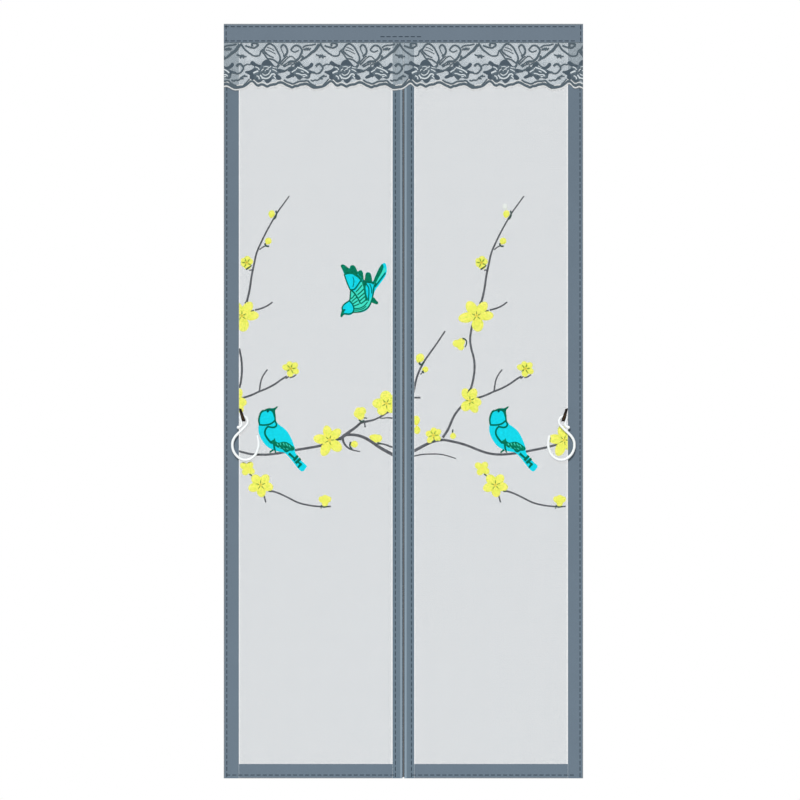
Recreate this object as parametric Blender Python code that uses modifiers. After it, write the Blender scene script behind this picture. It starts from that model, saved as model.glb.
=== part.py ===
"""Two-leaf magnetic insect screen with a lace valance and embroidered net.

Metres, +Z up. The front faces -Y and +X is to the right as seen from the front. The origin is the
middle of the back face of the header's adhesive tape, the face that sticks to the door frame.
"""

import math
from collections import Counter

import bmesh
import bpy
from mathutils import Matrix, Vector
from mathutils.geometry import delaunay_2d_cdt

# Curtain
CURTAIN_WIDTH = 1.000
CURTAIN_HEIGHT = 2.100
CLEARANCE = 0.0003

# Ribbons and bindings
RIBBON_THICKNESS = 0.0005
HEADER_HEIGHT = 0.053
SIDE_BINDING_WIDTH = 0.042
FOOT_BINDING_HEIGHT = 0.040
FOLD_SEGMENTS = 6

# Net
NET_THICKNESS = 0.0004
NET_FOLD_MARGIN = 0.004

# Centre sleeves and magnet strips
SEAM_WIDTH = 0.005
SLEEVE_WIDTH = 0.0275
SLEEVE_FLAT_WIDTH = 0.0095
SLEEVE_SLOPE_WIDTH = 0.005
SLEEVE_CREST = 0.0004
MAGNET_WIDTH = 0.014
MAGNET_THICKNESS = 0.0020
MAGNET_ROUNDING = 0.0004
MAGNET_FOOT_MARGIN = 0.003

# Hook-and-loop tapes
TAPE_THICKNESS = 0.0018
TAPE_WIDTH = 0.020
TAPE_END_MARGIN = 0.004
TAPE_ROUNDING = 0.0003

# Lace valance
LACE_THICKNESS = 0.0004
LACE_CORD_HEIGHT = 0.0007
LACE_TUCK = 0.016
LACE_FRINGE = 0.0045
LACE_CORD_WIDTH = 0.0042
LACE_REPEATS_ACROSS = 4.531

# Embroidery
STITCH_HEIGHT = 0.0006
BLOSSOM_HEIGHT = 0.0007

# Hooks and their ribbon loops
HOOK_WIRE = 0.0075
HOOK_LENGTH = 0.117
HOOK_STANDOFF = 0.0013
HOOK_TOP_HEIGHT = 1.0065
HOOK_TOP_REACH = 0.011
LOOP_LENGTH = 0.0235
LOOP_WIDTH = 0.008
LOOP_TOP_WIDTH = 0.003
LOOP_THICKNESS = 0.0008
LOOP_TOP_SPACE = 0.0008
LOOP_SLACK = 0.0005
LOOP_ARC_SEGMENTS = 10

# Layers, from the door frame at y = 0 forwards to -Y
ADHESIVE_BACK = 0.0
ADHESIVE_FRONT = ADHESIVE_BACK - TAPE_THICKNESS
SEWN_TAPE_BACK = ADHESIVE_FRONT - CLEARANCE
SEWN_TAPE_FRONT = SEWN_TAPE_BACK - TAPE_THICKNESS
BINDING_BACK = SEWN_TAPE_FRONT - CLEARANCE
NET_BACK = BINDING_BACK - RIBBON_THICKNESS - CLEARANCE
NET_FRONT = NET_BACK - NET_THICKNESS
NET_MIDDLE = (NET_BACK + NET_FRONT) / 2
BINDING_FRONT = NET_FRONT - CLEARANCE - RIBBON_THICKNESS
MAGNET_FRONT = NET_MIDDLE - MAGNET_THICKNESS / 2
SLEEVE_CREST_FRONT = MAGNET_FRONT - CLEARANCE - SLEEVE_CREST - RIBBON_THICKNESS
LACE_BACK = min(SLEEVE_CREST_FRONT, BINDING_FRONT) - CLEARANCE
LACE_FRONT = LACE_BACK - LACE_THICKNESS
HEADER_FRONT = LACE_FRONT - CLEARANCE - RIBBON_THICKNESS
STITCH_BACK = NET_FRONT - CLEARANCE
STITCH_FRONT = STITCH_BACK - STITCH_HEIGHT
BLOSSOM_BACK = STITCH_FRONT - CLEARANCE
BLOSSOM_FRONT = BLOSSOM_BACK - BLOSSOM_HEIGHT
PATCH_BACK = BLOSSOM_FRONT - CLEARANCE
HOOK_MIDDLE = PATCH_BACK - STITCH_HEIGHT - HOOK_STANDOFF - HOOK_WIRE / 2

# Heights and widths that several pieces share
LOOP_TOP_HEIGHT = HOOK_TOP_HEIGHT + LOOP_LENGTH
TOP = HEADER_HEIGHT / 2
FOOT = TOP - CURTAIN_HEIGHT
HEADER_FOOT = TOP - HEADER_HEIGHT
BODY_TOP = HEADER_FOOT - CLEARANCE
HALF_WIDTH = CURTAIN_WIDTH / 2
SIDE_INNER = HALF_WIDTH - SIDE_BINDING_WIDTH
SLEEVE_INNER = SEAM_WIDTH / 2
SLEEVE_OUTER = SLEEVE_INNER + SLEEVE_WIDTH
OPEN_NET_WIDTH = SIDE_INNER - SLEEVE_OUTER
MAGNET_INNER = CLEARANCE / 2
MAGNET_OUTER = MAGNET_INNER + MAGNET_WIDTH

# The drawings further down count in steps, a thousand to the size that they fit.
DRAWING_STEPS = 1000

# The embroidery is drawn in steps of a leaf's open width: u from the inner edge of the right
# leaf's net, h from the curtain's foot. It repeats, so the left leaf shows the same drawing from another
# place on.
MOTIF_UNIT = OPEN_NET_WIDTH / DRAWING_STEPS
LEFT_LEAF_START = 386

# The lace figure is drawn in steps of a repeat: u from a peak to the right, v down from the
# header's lower edge. A peak lies this far from the curtain's middle.
LACE_UNIT = CURTAIN_WIDTH / LACE_REPEATS_ACROSS / DRAWING_STEPS
LACE_MIDDLE_PEAK = -52
LACE_CUSPS = (126, 505, 783)
LACE_CUSP_DEPTH = 505
LACE_SCALLOP_DEPTH = 63
LACE_INNER_SCALLOP_DEPTH = 25
LACE_SCALLOP_STEPS = 4
LACE_PETAL_STEPS = 4
LACE_PETAL_NOTCH = 0.28

# A blossom's notches reach in by this share of its radius.
BLOSSOM_NOTCH = 0.40
BLOSSOM_PETAL_STEPS = 6
BIRD_STEPS = 2

MERGE_DISTANCE = 0.000001
SHARP_ANGLE = 40.0

COLLECTION_NAME = "magnetic_insect_screen"

GREY_RIBBON = ("grey_ribbon", (0.150, 0.195, 0.245), 0.75)
NET_GREY = ("net_grey", (0.55, 0.59, 0.61), 0.80)
LACE_NET = ("lace_net", (0.50, 0.56, 0.60), 0.80)
LACE_CORD = ("lace_cord", (0.075, 0.105, 0.130), 0.70)
TAPE_GREY = ("tape_grey", (0.100, 0.125, 0.150), 0.90)
MAGNET_BLACK = ("magnet_black", (0.055, 0.062, 0.070), 0.60)
HOOK_WHITE = ("hook_white", (0.86, 0.88, 0.88), 0.30)
LOOP_BLACK = ("loop_black", (0.015, 0.012, 0.010), 0.85)
BRANCH_GREY = ("branch_grey", (0.150, 0.160, 0.175), 0.70)
BLOSSOM_YELLOW = ("blossom_yellow", (0.78, 0.86, 0.05), 0.60)
BIRD_BLUE = ("bird_blue", (0.01, 0.66, 0.76), 0.55)
WING_GREEN = ("wing_green", (0.002, 0.180, 0.110), 0.60)


def clear_scene():
    """Removes whatever the file holds."""
    for obj in list(bpy.data.objects):
        bpy.data.objects.remove(obj, do_unlink=True)


def collection(name):
    """A collection of this name, linked to the scene."""
    found = bpy.data.collections.get(name) or bpy.data.collections.new(name)
    if name not in bpy.context.scene.collection.children:
        bpy.context.scene.collection.children.link(found)
    return found


def material(finish):
    """The Principled BSDF material of a finish: its name, colour and roughness."""
    name, colour, roughness = finish
    made = bpy.data.materials.get(name)
    if made is None:
        made = bpy.data.materials.new(name)
        made.use_nodes = True
        shader = made.node_tree.nodes["Principled BSDF"]
        shader.inputs["Base Color"].default_value = (*colour, 1.0)
        shader.inputs["Roughness"].default_value = roughness
        shader.inputs["Metallic"].default_value = 0.0
    return made


def piece(name, mesh, finish):
    """A named sub-part of the curtain in its finish."""
    mesh.name = name
    mesh.materials.clear()
    mesh.materials.append(material(finish))
    obj = bpy.data.objects.new(name, mesh)
    collection(COLLECTION_NAME).objects.link(obj)
    return obj


def soften(mesh):
    """Shades the round stretches smooth and leaves the folds and rims sharp."""
    mesh.shade_smooth()
    mesh.set_sharp_from_angle(angle=math.radians(SHARP_ANGLE))


def box_mesh(low, high, rounding=0.0):
    """A box between two corners, with its edges rounded if asked."""
    low, high = Vector(low), Vector(high)
    shape = bmesh.new()
    bmesh.ops.create_cube(shape, size=1.0)
    bmesh.ops.scale(shape, vec=high - low, verts=shape.verts)
    bmesh.ops.translate(shape, vec=(low + high) / 2, verts=shape.verts)
    if rounding:
        bmesh.ops.bevel(
            shape, geom=list(shape.edges), offset=rounding, segments=2, affect="EDGES", profile=0.5
        )
    mesh = bpy.data.meshes.new("box")
    shape.to_mesh(mesh)
    shape.free()
    return mesh


def folded_ribbon(name, path, along, length, inward):
    """A ribbon that follows a path in section and runs straight for a length.

    path holds the points of the ribbon's outer face, along is the direction of the run and inward
    tells which side of the face the thickness lies on (1 or -1).
    """
    shape = bmesh.new()
    verts = [shape.verts.new(point) for point in path]
    edges = [shape.edges.new(pair) for pair in zip(verts, verts[1:])]
    run = bmesh.ops.extrude_edge_only(shape, edges=edges)
    far = [item for item in run["geom"] if isinstance(item, bmesh.types.BMVert)]
    bmesh.ops.translate(shape, vec=Vector(along) * length, verts=far)
    mesh = bpy.data.meshes.new(name)
    shape.to_mesh(mesh)
    shape.free()
    soften(mesh)
    obj = piece(name, mesh, GREY_RIBBON)
    wall = obj.modifiers.new("ribbon_thickness", "SOLIDIFY")
    wall.thickness = RIBBON_THICKNESS
    wall.offset = inward
    wall.use_even_offset = True
    return obj


def fold_arc(centre, radius, start, sweep):
    """Points of an arc in a plane, from a start angle over a sweep in radians."""
    return [
        (
            centre[0] + radius * math.cos(start + sweep * step / FOLD_SEGMENTS),
            centre[1] + radius * math.sin(start + sweep * step / FOLD_SEGMENTS),
        )
        for step in range(FOLD_SEGMENTS + 1)
    ]


def fold_section(edge, fold, back, front):
    """Outer face of a ribbon folded over an edge: (reach, y) points from back edge to front edge.

    edge is where both walls end and fold is the outermost place of the fold.
    """
    radius = (back - front) / 2
    side = 1.0 if fold > edge else -1.0
    centre = (fold - side * radius, (back + front) / 2)
    arc = fold_arc(centre, radius, math.pi / 2, -side * math.pi)
    return [(edge, back), *arc, (edge, front)]


def header_band():
    """The ribbon folded over the top of the net, with the lace under its front wall."""
    section = fold_section(HEADER_FOOT, TOP, BINDING_BACK, HEADER_FRONT)
    path = [(-HALF_WIDTH, y, z) for z, y in section]
    folded_ribbon("header_band", path, (1, 0, 0), CURTAIN_WIDTH, 1)


def side_binding(name, side):
    """The ribbon folded over the outer edge of one leaf."""
    section = fold_section(side * SIDE_INNER, side * HALF_WIDTH, BINDING_BACK, BINDING_FRONT)
    path = [(x, y, FOOT) for x, y in section]
    folded_ribbon(name, path, (0, 0, 1), BODY_TOP - FOOT, -side)


def foot_binding(name, side):
    """The ribbon folded over the foot of one leaf, between its side binding and its sleeve."""
    section = fold_section(FOOT + FOOT_BINDING_HEIGHT, FOOT, BINDING_BACK, BINDING_FRONT)
    start = SLEEVE_OUTER + CLEARANCE
    end = SIDE_INNER - CLEARANCE
    path = [(side * start, y, z) for z, y in section]
    folded_ribbon(name, path, (side, 0, 0), end - start, -side)


def sleeve_ribbon(name, side, towards):
    """One ribbon of a centre sleeve: flat on the net, then up over the magnet strip.

    towards is -1 for the front ribbon and 1 for the back ribbon.
    """
    flat = NET_MIDDLE + towards * (NET_THICKNESS / 2 + CLEARANCE + RIBBON_THICKNESS)
    rim = NET_MIDDLE + towards * (MAGNET_THICKNESS / 2 + CLEARANCE + RIBBON_THICKNESS)
    crest = rim + towards * SLEEVE_CREST
    flat_end = SLEEVE_OUTER - SLEEVE_FLAT_WIDTH
    crest_start = flat_end - SLEEVE_SLOPE_WIDTH
    crest_middle = (crest_start + SLEEVE_INNER) / 2
    section = [
        (SLEEVE_OUTER, flat),
        (flat_end, flat),
        (crest_start, rim + towards * SLEEVE_CREST / 2),
        ((crest_start + crest_middle) / 2, crest),
        ((crest_middle + SLEEVE_INNER) / 2, crest),
        (SLEEVE_INNER, rim),
    ]
    path = [(side * x, y, FOOT) for x, y in section]
    folded_ribbon(name, path, (0, 0, 1), BODY_TOP - FOOT, side * towards)


def magnet_strip(name, side):
    """A flexible magnet strip between the two ribbons of a sleeve, its edge at the seam."""
    back = NET_MIDDLE + MAGNET_THICKNESS / 2
    ends = sorted((side * MAGNET_INNER, side * MAGNET_OUTER))
    mesh = box_mesh(
        (ends[0], MAGNET_FRONT, FOOT + MAGNET_FOOT_MARGIN), (ends[1], back, BODY_TOP), MAGNET_ROUNDING
    )
    piece(name, mesh, MAGNET_BLACK)


def net_leaf(name, side):
    """The net of one leaf, its four edges inside the header, the bindings and the sleeve."""
    radius = (BINDING_BACK - BINDING_FRONT) / 2
    ends = sorted((side * (MAGNET_OUTER + CLEARANCE), side * (HALF_WIDTH - NET_FOLD_MARGIN)))
    top = TOP - (BINDING_BACK - HEADER_FRONT) / 2 - NET_FOLD_MARGIN
    low = (ends[0], NET_FRONT, FOOT + radius + NET_FOLD_MARGIN)
    piece(name, box_mesh(low, (ends[1], NET_BACK, top)), NET_GREY)


def tape(name, low, high):
    """A strip of hook-and-loop tape."""
    piece(name, box_mesh(low, high, TAPE_ROUNDING), TAPE_GREY)


def tape_pair(place, x_low, x_high, z_low, z_high):
    """A loop tape sewn on the curtain and the adhesive hook tape opposite it."""
    tape(f"{place}_loop_tape", (x_low, SEWN_TAPE_FRONT, z_low), (x_high, SEWN_TAPE_BACK, z_high))
    tape(f"{place}_adhesive_tape", (x_low, ADHESIVE_FRONT, z_low), (x_high, ADHESIVE_BACK, z_high))


def tapes():
    """The tape pairs behind the header and both side bindings."""
    reach = HALF_WIDTH - TAPE_END_MARGIN
    tape_pair("header", -reach, reach, -TAPE_WIDTH / 2, TAPE_WIDTH / 2)
    for place, side in (("left", -1), ("right", 1)):
        middle = side * (HALF_WIDTH - SIDE_BINDING_WIDTH / 2)
        tape_pair(
            place,
            middle - TAPE_WIDTH / 2,
            middle + TAPE_WIDTH / 2,
            FOOT + TAPE_END_MARGIN,
            BODY_TOP - TAPE_END_MARGIN,
        )


def flat_mesh(outlines, back, front):
    """A flat piece that stands upright: closed outlines of (x, z) points between two layers."""
    curve = bpy.data.curves.new("outline", "CURVE")
    curve.dimensions = "2D"
    curve.fill_mode = "BOTH"
    curve.extrude = (back - front) / 2
    for outline in outlines:
        spline = curve.splines.new("POLY")
        spline.points.add(len(outline) - 1)
        for point, (x, z) in zip(spline.points, outline):
            point.co = (x, z, 0.0, 1.0)
        spline.use_cyclic_u = True
    guide = bpy.data.objects.new("outline", curve)
    bpy.context.scene.collection.objects.link(guide)
    bpy.context.view_layer.update()
    mesh = bpy.data.meshes.new_from_object(guide.evaluated_get(bpy.context.evaluated_depsgraph_get()))
    bpy.data.objects.remove(guide, do_unlink=True)
    bpy.data.curves.remove(curve)
    mesh.transform(Matrix.Translation((0, (back + front) / 2, 0)) @ Matrix.Rotation(math.pi / 2, 4, "X"))
    weld(mesh)
    return mesh


def weld(mesh):
    """Joins the loose caps of a filled curve to its walls."""
    shape = bmesh.new()
    shape.from_mesh(mesh)
    bmesh.ops.remove_doubles(shape, verts=shape.verts, dist=MERGE_DISTANCE)
    bmesh.ops.recalc_face_normals(shape, faces=shape.faces)
    shape.to_mesh(mesh)
    shape.free()


def counterclockwise(outline):
    """The outline's points in counterclockwise order."""
    area = sum(a[0] * b[1] - b[0] * a[1] for a, b in zip(outline, [*outline[1:], outline[0]]))
    return outline if area > 0 else outline[::-1]


def contains(outline, x, z):
    """Tells whether a closed outline surrounds a point."""
    inside = False
    for (x_a, z_a), (x_b, z_b) in zip(outline, [*outline[1:], outline[0]]):
        if (z_a > z) != (z_b > z) and x < x_a + (z - z_a) / (z_b - z_a) * (x_b - x_a):
            inside = not inside
    return inside


def fill_pinches(triangles, covered, allowed):
    """Covers the triangles round each point where covered ones only touch, until no such point is left.

    triangles holds three point numbers each; covered and allowed are sets of triangle numbers.
    """
    while True:
        sides = Counter()
        for number in covered:
            a, b, c = triangles[number]
            sides.update((frozenset((a, b)), frozenset((b, c)), frozenset((c, a))))
        ends = Counter(point for side, uses in sides.items() if uses == 1 for point in side)
        pinches = {point for point, uses in ends.items() if uses > 2}
        added = {number for number in allowed - covered if pinches.intersection(triangles[number])}
        if not added:
            return covered
        covered = covered | added


def network(name, outlines, window, back, front, finish):
    """One flat upright body that covers all overlapping outlines of (x, z) points within a window.

    window holds the low and the high corner of a rectangle.
    """
    (left, bottom), (right, top) = window
    outlines = [[(left, bottom), (right, bottom), (right, top), (left, top)], *outlines]
    points, loops = [], []
    for outline in outlines:
        loops.append(range(len(points), len(points) + len(outline)))
        points.extend(Vector(point) for point in counterclockwise(outline))
    places, _, triangles, _, _, covers = delaunay_2d_cdt(points, [], loops, 0, MERGE_DISTANCE)
    allowed = {number for number, cover in enumerate(covers) if 0 in cover}
    covered = set()
    for number in allowed:
        x, z = sum((places[point] for point in triangles[number]), Vector((0.0, 0.0))) / 3
        if any(contains(outlines[index], x, z) for index in covers[number] if index):
            covered.add(number)
    shape = bmesh.new()
    verts = [shape.verts.new((x, front, z)) for x, z in places]
    for number in sorted(fill_pinches(triangles, covered, allowed)):
        shape.faces.new([verts[point] for point in triangles[number]])
    bmesh.ops.delete(shape, geom=[vert for vert in verts if not vert.link_faces], context="VERTS")
    mesh = bpy.data.meshes.new(name)
    shape.to_mesh(mesh)
    shape.free()
    obj = piece(name, mesh, finish)
    wall = obj.modifiers.new("thickness", "SOLIDIFY")
    wall.thickness = back - front
    wall.offset = -1


def strip(near, far, closed=False):
    """Triangles that fill the band between two lines of as many points."""
    count = len(near)
    triangles = []
    for index in range(count if closed else count - 1):
        after = (index + 1) % count
        triangles.append([near[index], far[index], far[after]])
        triangles.append([near[index], far[after], near[after]])
    return triangles


def ribbon(points, start_width, end_width, closed=False):
    """Triangles of a flat ribbon along a line of points that changes evenly in width."""
    points = [Vector(point) for point in points]
    last = len(points) - 1
    near, far = [], []
    for index, point in enumerate(points):
        before = points[index - 1] if index or closed else point
        after = points[(index + 1) % len(points)] if index < last or closed else point
        direction = (after - before).normalized()
        width = start_width + (end_width - start_width) * index / last
        square = Vector((-direction.y, direction.x)) * width / 2
        near.append(tuple(point + square))
        far.append(tuple(point - square))
    return strip(near, far, closed)


def smooth_line(points, steps, closed=False):
    """Points on a smooth curve through the given ones (Catmull-Rom)."""
    points = [Vector(point) for point in points]
    count = len(points)
    smooth = []
    for index in range(count if closed else count - 1):
        if closed:
            a, b, c, d = (points[(index + offset) % count] for offset in (-1, 0, 1, 2))
        else:
            b, c = points[index], points[index + 1]
            a = points[index - 1] if index else 2 * b - c
            d = points[index + 2] if index + 2 < count else 2 * c - b
        for step in range(steps):
            t = step / steps
            smooth.append(
                0.5
                * (2 * b + (c - a) * t + (2 * a - 5 * b + 4 * c - d) * t**2 + (3 * b - a - 3 * c + d) * t**3)
            )
    if not closed:
        smooth.append(points[-1])
    return [tuple(point) for point in smooth]


# Lace valance


def lace_place(repeat, u, v):
    """A point of the lace drawing in metres as (x, z), on a given repeat."""
    return ((LACE_MIDDLE_PEAK + repeat * DRAWING_STEPS + u) * LACE_UNIT, HEADER_FOOT - v * LACE_UNIT)


def lace_repeats():
    """The repeats that reach into the curtain's width, numbered from the middle one."""
    reach = HALF_WIDTH / LACE_UNIT
    first = math.floor((-reach - LACE_MIDDLE_PEAK) / DRAWING_STEPS)
    last = math.floor((reach - LACE_MIDDLE_PEAK) / DRAWING_STEPS)
    return range(first, last + 1)


def scallops(depth, repeats):
    """The scalloped line of the valance's foot, (x, z) points from left to right."""
    cusps = [(repeat, u) for repeat in repeats for u in LACE_CUSPS]
    line = []
    for (repeat, u), (next_repeat, next_u) in zip(cusps, cusps[1:]):
        span = (next_repeat - repeat) * DRAWING_STEPS + next_u - u
        for step in range(LACE_SCALLOP_STEPS):
            t = step / LACE_SCALLOP_STEPS
            v = LACE_CUSP_DEPTH + depth * math.sin(math.pi * t)
            line.append(lace_place(repeat, u + span * t, v))
    return line


def lace_ground():
    """The valance's fine net: straight at the top, scalloped at the foot."""
    repeats = range(lace_repeats()[0] - 1, lace_repeats()[-1] + 2)
    foot = [(x, z - LACE_FRINGE) for x, z in scallops(LACE_SCALLOP_DEPTH, repeats)]
    top = HEADER_FOOT + LACE_TUCK
    outline = [(foot[-1][0], top), (foot[0][0], top), *foot]
    window = ((-HALF_WIDTH, FOOT), (HALF_WIDTH, top))
    network("lace_ground", [outline], window, LACE_BACK, LACE_FRONT, LACE_NET)


def lace_strokes():
    """The cords of one repeat: each a line of (u, v) points with its first and last width."""
    return [
        ([(0, -18), (-59, 77), (-109, 136), (-240, 281)], 16, 32),
        ([(-9, -18), (54, 68), (136, 159), (231, 170), (272, 100), (317, 54)], 18, 18),
        ([(290, 54), (362, 145), (412, 227), (440, 326)], 16, 20),
        (
            [(671, 136), (643, 91), (680, 45), (739, 45), (770, 91), (743, 140), (716, 204), (702, 281)],
            18,
            18,
        ),
        (
            [(-154, 471), (-131, 399), (-72, 335), (-9, 335), (27, 381), (54, 417), (109, 399), (181, 381)],
            20,
            20,
        ),
        ([(-104, 390), (-54, 435), (9, 480), (27, 535)], 18, 16),
        ([(680, 317), (634, 281), (598, 299), (553, 353)], 16, 23),
        ([(807, 326), (897, 263), (961, 272), (1006, 349)], 23, 18),
    ]


def lace_rings():
    """The closed cords of one repeat: lines of (u, v) points."""
    return [
        [
            (299, 100), (335, 36), (381, 14), (444, 45), (494, 136), (512, 236), (489, 290), (417, 263),
            (344, 199),
        ],  # fmt: skip
        [(507, 136), (507, 72), (544, 27), (589, 63), (594, 145), (562, 199), (521, 190)],
    ]


def flower(u, v, across, down, petals, turn):
    """The outline of a lace flower with round petals, as (u, v) points."""
    steps = petals * LACE_PETAL_STEPS
    outline = []
    for step in range(steps):
        angle = turn + 2 * math.pi * step / steps
        reach = 1 - LACE_PETAL_NOTCH * (1 - abs(math.cos(petals * (angle - turn) / 2)))
        outline.append((u + across * reach * math.cos(angle), v + down * reach * math.sin(angle)))
    return outline


def lace_flowers():
    """The flowers of one repeat: (u, v, half width, half height, petals, turn, open middle)."""
    return [
        (308, 381, 190, 136, 7, 0.3, 0.34),
        (743, 381, 150, 140, 5, 1.2, 0.42),
    ]


def lace_cordwork():
    """The cord figure on the front of the lace, one network from side to side."""
    repeats = range(lace_repeats()[0] - 1, lace_repeats()[-1] + 2)
    shapes = []
    for depth in (LACE_SCALLOP_DEPTH, LACE_INNER_SCALLOP_DEPTH):
        shapes += ribbon(scallops(depth, repeats), LACE_CORD_WIDTH, LACE_CORD_WIDTH)
    for repeat in repeats:
        for line, start, end in lace_strokes():
            points = [lace_place(repeat, u, v) for u, v in line]
            shapes += ribbon(points, start * LACE_UNIT, end * LACE_UNIT)
        for line in lace_rings():
            points = [lace_place(repeat, u, v) for u, v in line]
            shapes += ribbon(points, LACE_CORD_WIDTH, LACE_CORD_WIDTH, closed=True)
        for u, v, across, down, petals, turn, middle in lace_flowers():
            rims = []
            for share in (1.0, middle):
                rim = flower(u, v, across * share, down * share, petals, turn)
                rims.append([lace_place(repeat, *point) for point in rim])
            shapes += strip(*rims, closed=True)
    window = ((-HALF_WIDTH, FOOT), (HALF_WIDTH, HEADER_FOOT - CLEARANCE))
    back = LACE_FRONT - CLEARANCE
    network("lace_cordwork", shapes, window, back, back - LACE_CORD_HEIGHT, LACE_CORD)


# Embroidery


def leaf_place(side, u, h):
    """A point of the embroidery drawing in metres as (x, z), on one leaf."""
    if side > 0:
        return (SLEEVE_OUTER + u * MOTIF_UNIT, FOOT + h * MOTIF_UNIT)
    return (-SIDE_INNER + (u - LEFT_LEAF_START) * MOTIF_UNIT, FOOT + h * MOTIF_UNIT)


def leaf_window(side):
    """The corners of the open net of one leaf, which trims the embroidery."""
    left, right = sorted((side * (SLEEVE_OUTER + CLEARANCE), side * (SIDE_INNER - CLEARANCE)))
    return ((left, FOOT), (right, TOP))


# Branch name: the leaves that show it, and its twigs as (first width, last width, points).
BRANCHES = {
    "high_branch": (
        ("left", "right"),
        [
            (7, 21, [(714, 3796), (600, 3621), (515, 3431), (487, 3330), (431, 3105), (412, 3026)]),
            (14, 7, [(412, 3026), (478, 3052), (557, 3073), (607, 3110)]),
        ],
    ),
    "low_branch": (
        ("left", "right"),
        [
            (16, 7, [(539, 1902), (623, 1862), (707, 1820), (789, 1787), (916, 1766), (984, 1766)]),
            (9, 7, [(539, 1902), (548, 1862), (557, 1803)]),
        ],
    ),
    "tall_stem": (
        ("right",),
        [
            (16, 19, [(389, 3026), (365, 2904), (361, 2848), (382, 2773), (398, 2689), (370, 2567)]),
            (19, 19, [(370, 2567), (363, 2518), (356, 2464)]),
            (16, 9, [(356, 2464), (525, 2518), (623, 2574), (696, 2618)]),
            (9, 7, [(520, 2515), (527, 2593), (574, 2667)]),
            (14, 9, [(356, 2464), (304, 2426), (246, 2344), (208, 2260), (155, 2178)]),
            (12, 17, [(-28, 2108), (59, 2162), (124, 2194), (208, 2206)]),
            (17, 21, [(208, 2206), (290, 2185), (391, 2143), (492, 2119)]),
            (21, 16, [(492, 2119), (625, 2122), (766, 2143), (878, 2155), (1030, 2197)]),
        ],
    ),
    "side_twig": (
        ("left",),
        [
            (16, 9, [(351, 2473), (525, 2518), (623, 2574), (696, 2618)]),
            (9, 7, [(520, 2515), (527, 2593), (574, 2667)]),
        ],
    ),
    "wide_branch": (
        ("left",),
        [
            (16, 19, [(351, 2131), (417, 2119), (492, 2119), (625, 2122)]),
            (19, 21, [(625, 2122), (766, 2143), (878, 2155), (939, 2180)]),
            (21, 19, [(939, 2180), (1052, 2234), (1091, 2253), (1138, 2293)]),
            (19, 16, [(1138, 2293), (1178, 2323), (1258, 2335), (1452, 2426)]),
            (14, 9, [(1073, 2246), (1178, 2241), (1248, 2197), (1321, 2150), (1452, 2075)]),
            (9, 7, [(1021, 2225), (1082, 2183), (1115, 2150), (1173, 2133)]),
            (7, 6, [(1276, 2344), (1370, 2361), (1452, 2347)]),
            (7, 6, [(1241, 2204), (1311, 2190), (1452, 2141)]),
        ],
    ),
    "inner_twig": (
        ("right",),
        [(7, 14, [(199, 2913), (133, 2815), (63, 2710), (33, 2649), (7, 2581), (-14, 2506)])],
    ),
    "faint_twig": (
        ("right",),
        [(9, 7, [(-23, 2091), (82, 2108), (183, 2108), (290, 2075)])],
    ),
}

# Blossom name: the leaves that show it, its middle (u, h), radius, petals and turn in degrees.
BLOSSOMS = {
    "large_blossom": (("left", "right"), 407, 3019, 103, 5, 20),
    "middle_blossom": (("left", "right"), 361, 2478, 66, 5, 0),
    "twig_blossom": (("left", "right"), 724, 2665, 44, 5, 10),
    "open_blossom": (("left", "right"), 951, 2197, 91, 5, 35),
    "low_blossom": (("left", "right"), 525, 1906, 73, 5, 5),
    "low_bud": (("left", "right"), 429, 2023, 40, 4, 40),
    "end_bud": (("left", "right"), 941, 1810, 33, 3, 90),
    "stem_bud": (("left", "right"), 438, 3349, 35, 4, 15),
    "side_bud": (("right",), 290, 2831, 35, 4, 0),
    "inner_blossom": (("right",), 124, 2227, 42, 5, 30),
    "upper_blossom": (("left",), 1335, 2450, 84, 5, 50),
    "upper_bud": (("left",), 1178, 2365, 35, 4, 0),
}

# No branch runs behind these, so they lie straight on the net.
LOOSE_BLOSSOMS = ("twig_blossom", "low_bud", "stem_bud", "side_bud", "end_bud")

# The birds are drawn as outlines of (u, h) points. Each leaf's perched bird sits a little apart.
PERCHED_NUDGE = {"left": 25, "right": 0}
PERCHED_BIRD = [
    (614, 2422), (588, 2410), (562, 2412), (529, 2386), (499, 2349), (485, 2307), (489, 2255),
    (511, 2197), (562, 2155), (614, 2133), (656, 2122), (693, 2084), (759, 2005), (803, 2028), (782, 2084),
    (731, 2131), (710, 2190), (684, 2248), (642, 2300), (604, 2326), (585, 2356), (588, 2393),
]  # fmt: skip
PERCHED_WING = [
    (582, 2201), (596, 2212), (604, 2192), (639, 2192), (671, 2195), (707, 2173), (725, 2151),
    (720, 2135), (689, 2131), (660, 2135), (635, 2151), (610, 2159), (592, 2157), (570, 2184),
]  # fmt: skip
FLYING_BIRD = [
    (1047, 3007), (1077, 3035), (1091, 3073), (1124, 3115), (1143, 3162), (1101, 3213), (1059, 3274),
    (1054, 3349), (1091, 3335), (1119, 3356), (1152, 3330), (1185, 3344), (1213, 3307), (1246, 3274),
    (1237, 3213), (1274, 3185), (1293, 3260), (1340, 3358), (1354, 3279), (1335, 3204), (1311, 3115),
    (1279, 3063), (1218, 3026), (1148, 3007), (1091, 2988),
]  # fmt: skip
FLYING_WING = [
    (1052, 3355), (1089, 3339), (1131, 3341), (1162, 3314), (1196, 3304), (1210, 3270), (1224, 3300),
    (1249, 3295), (1257, 3256), (1254, 3201), (1224, 3174), (1207, 3201), (1180, 3215), (1148, 3253),
    (1107, 3267), (1081, 3289),
]  # fmt: skip


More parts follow.
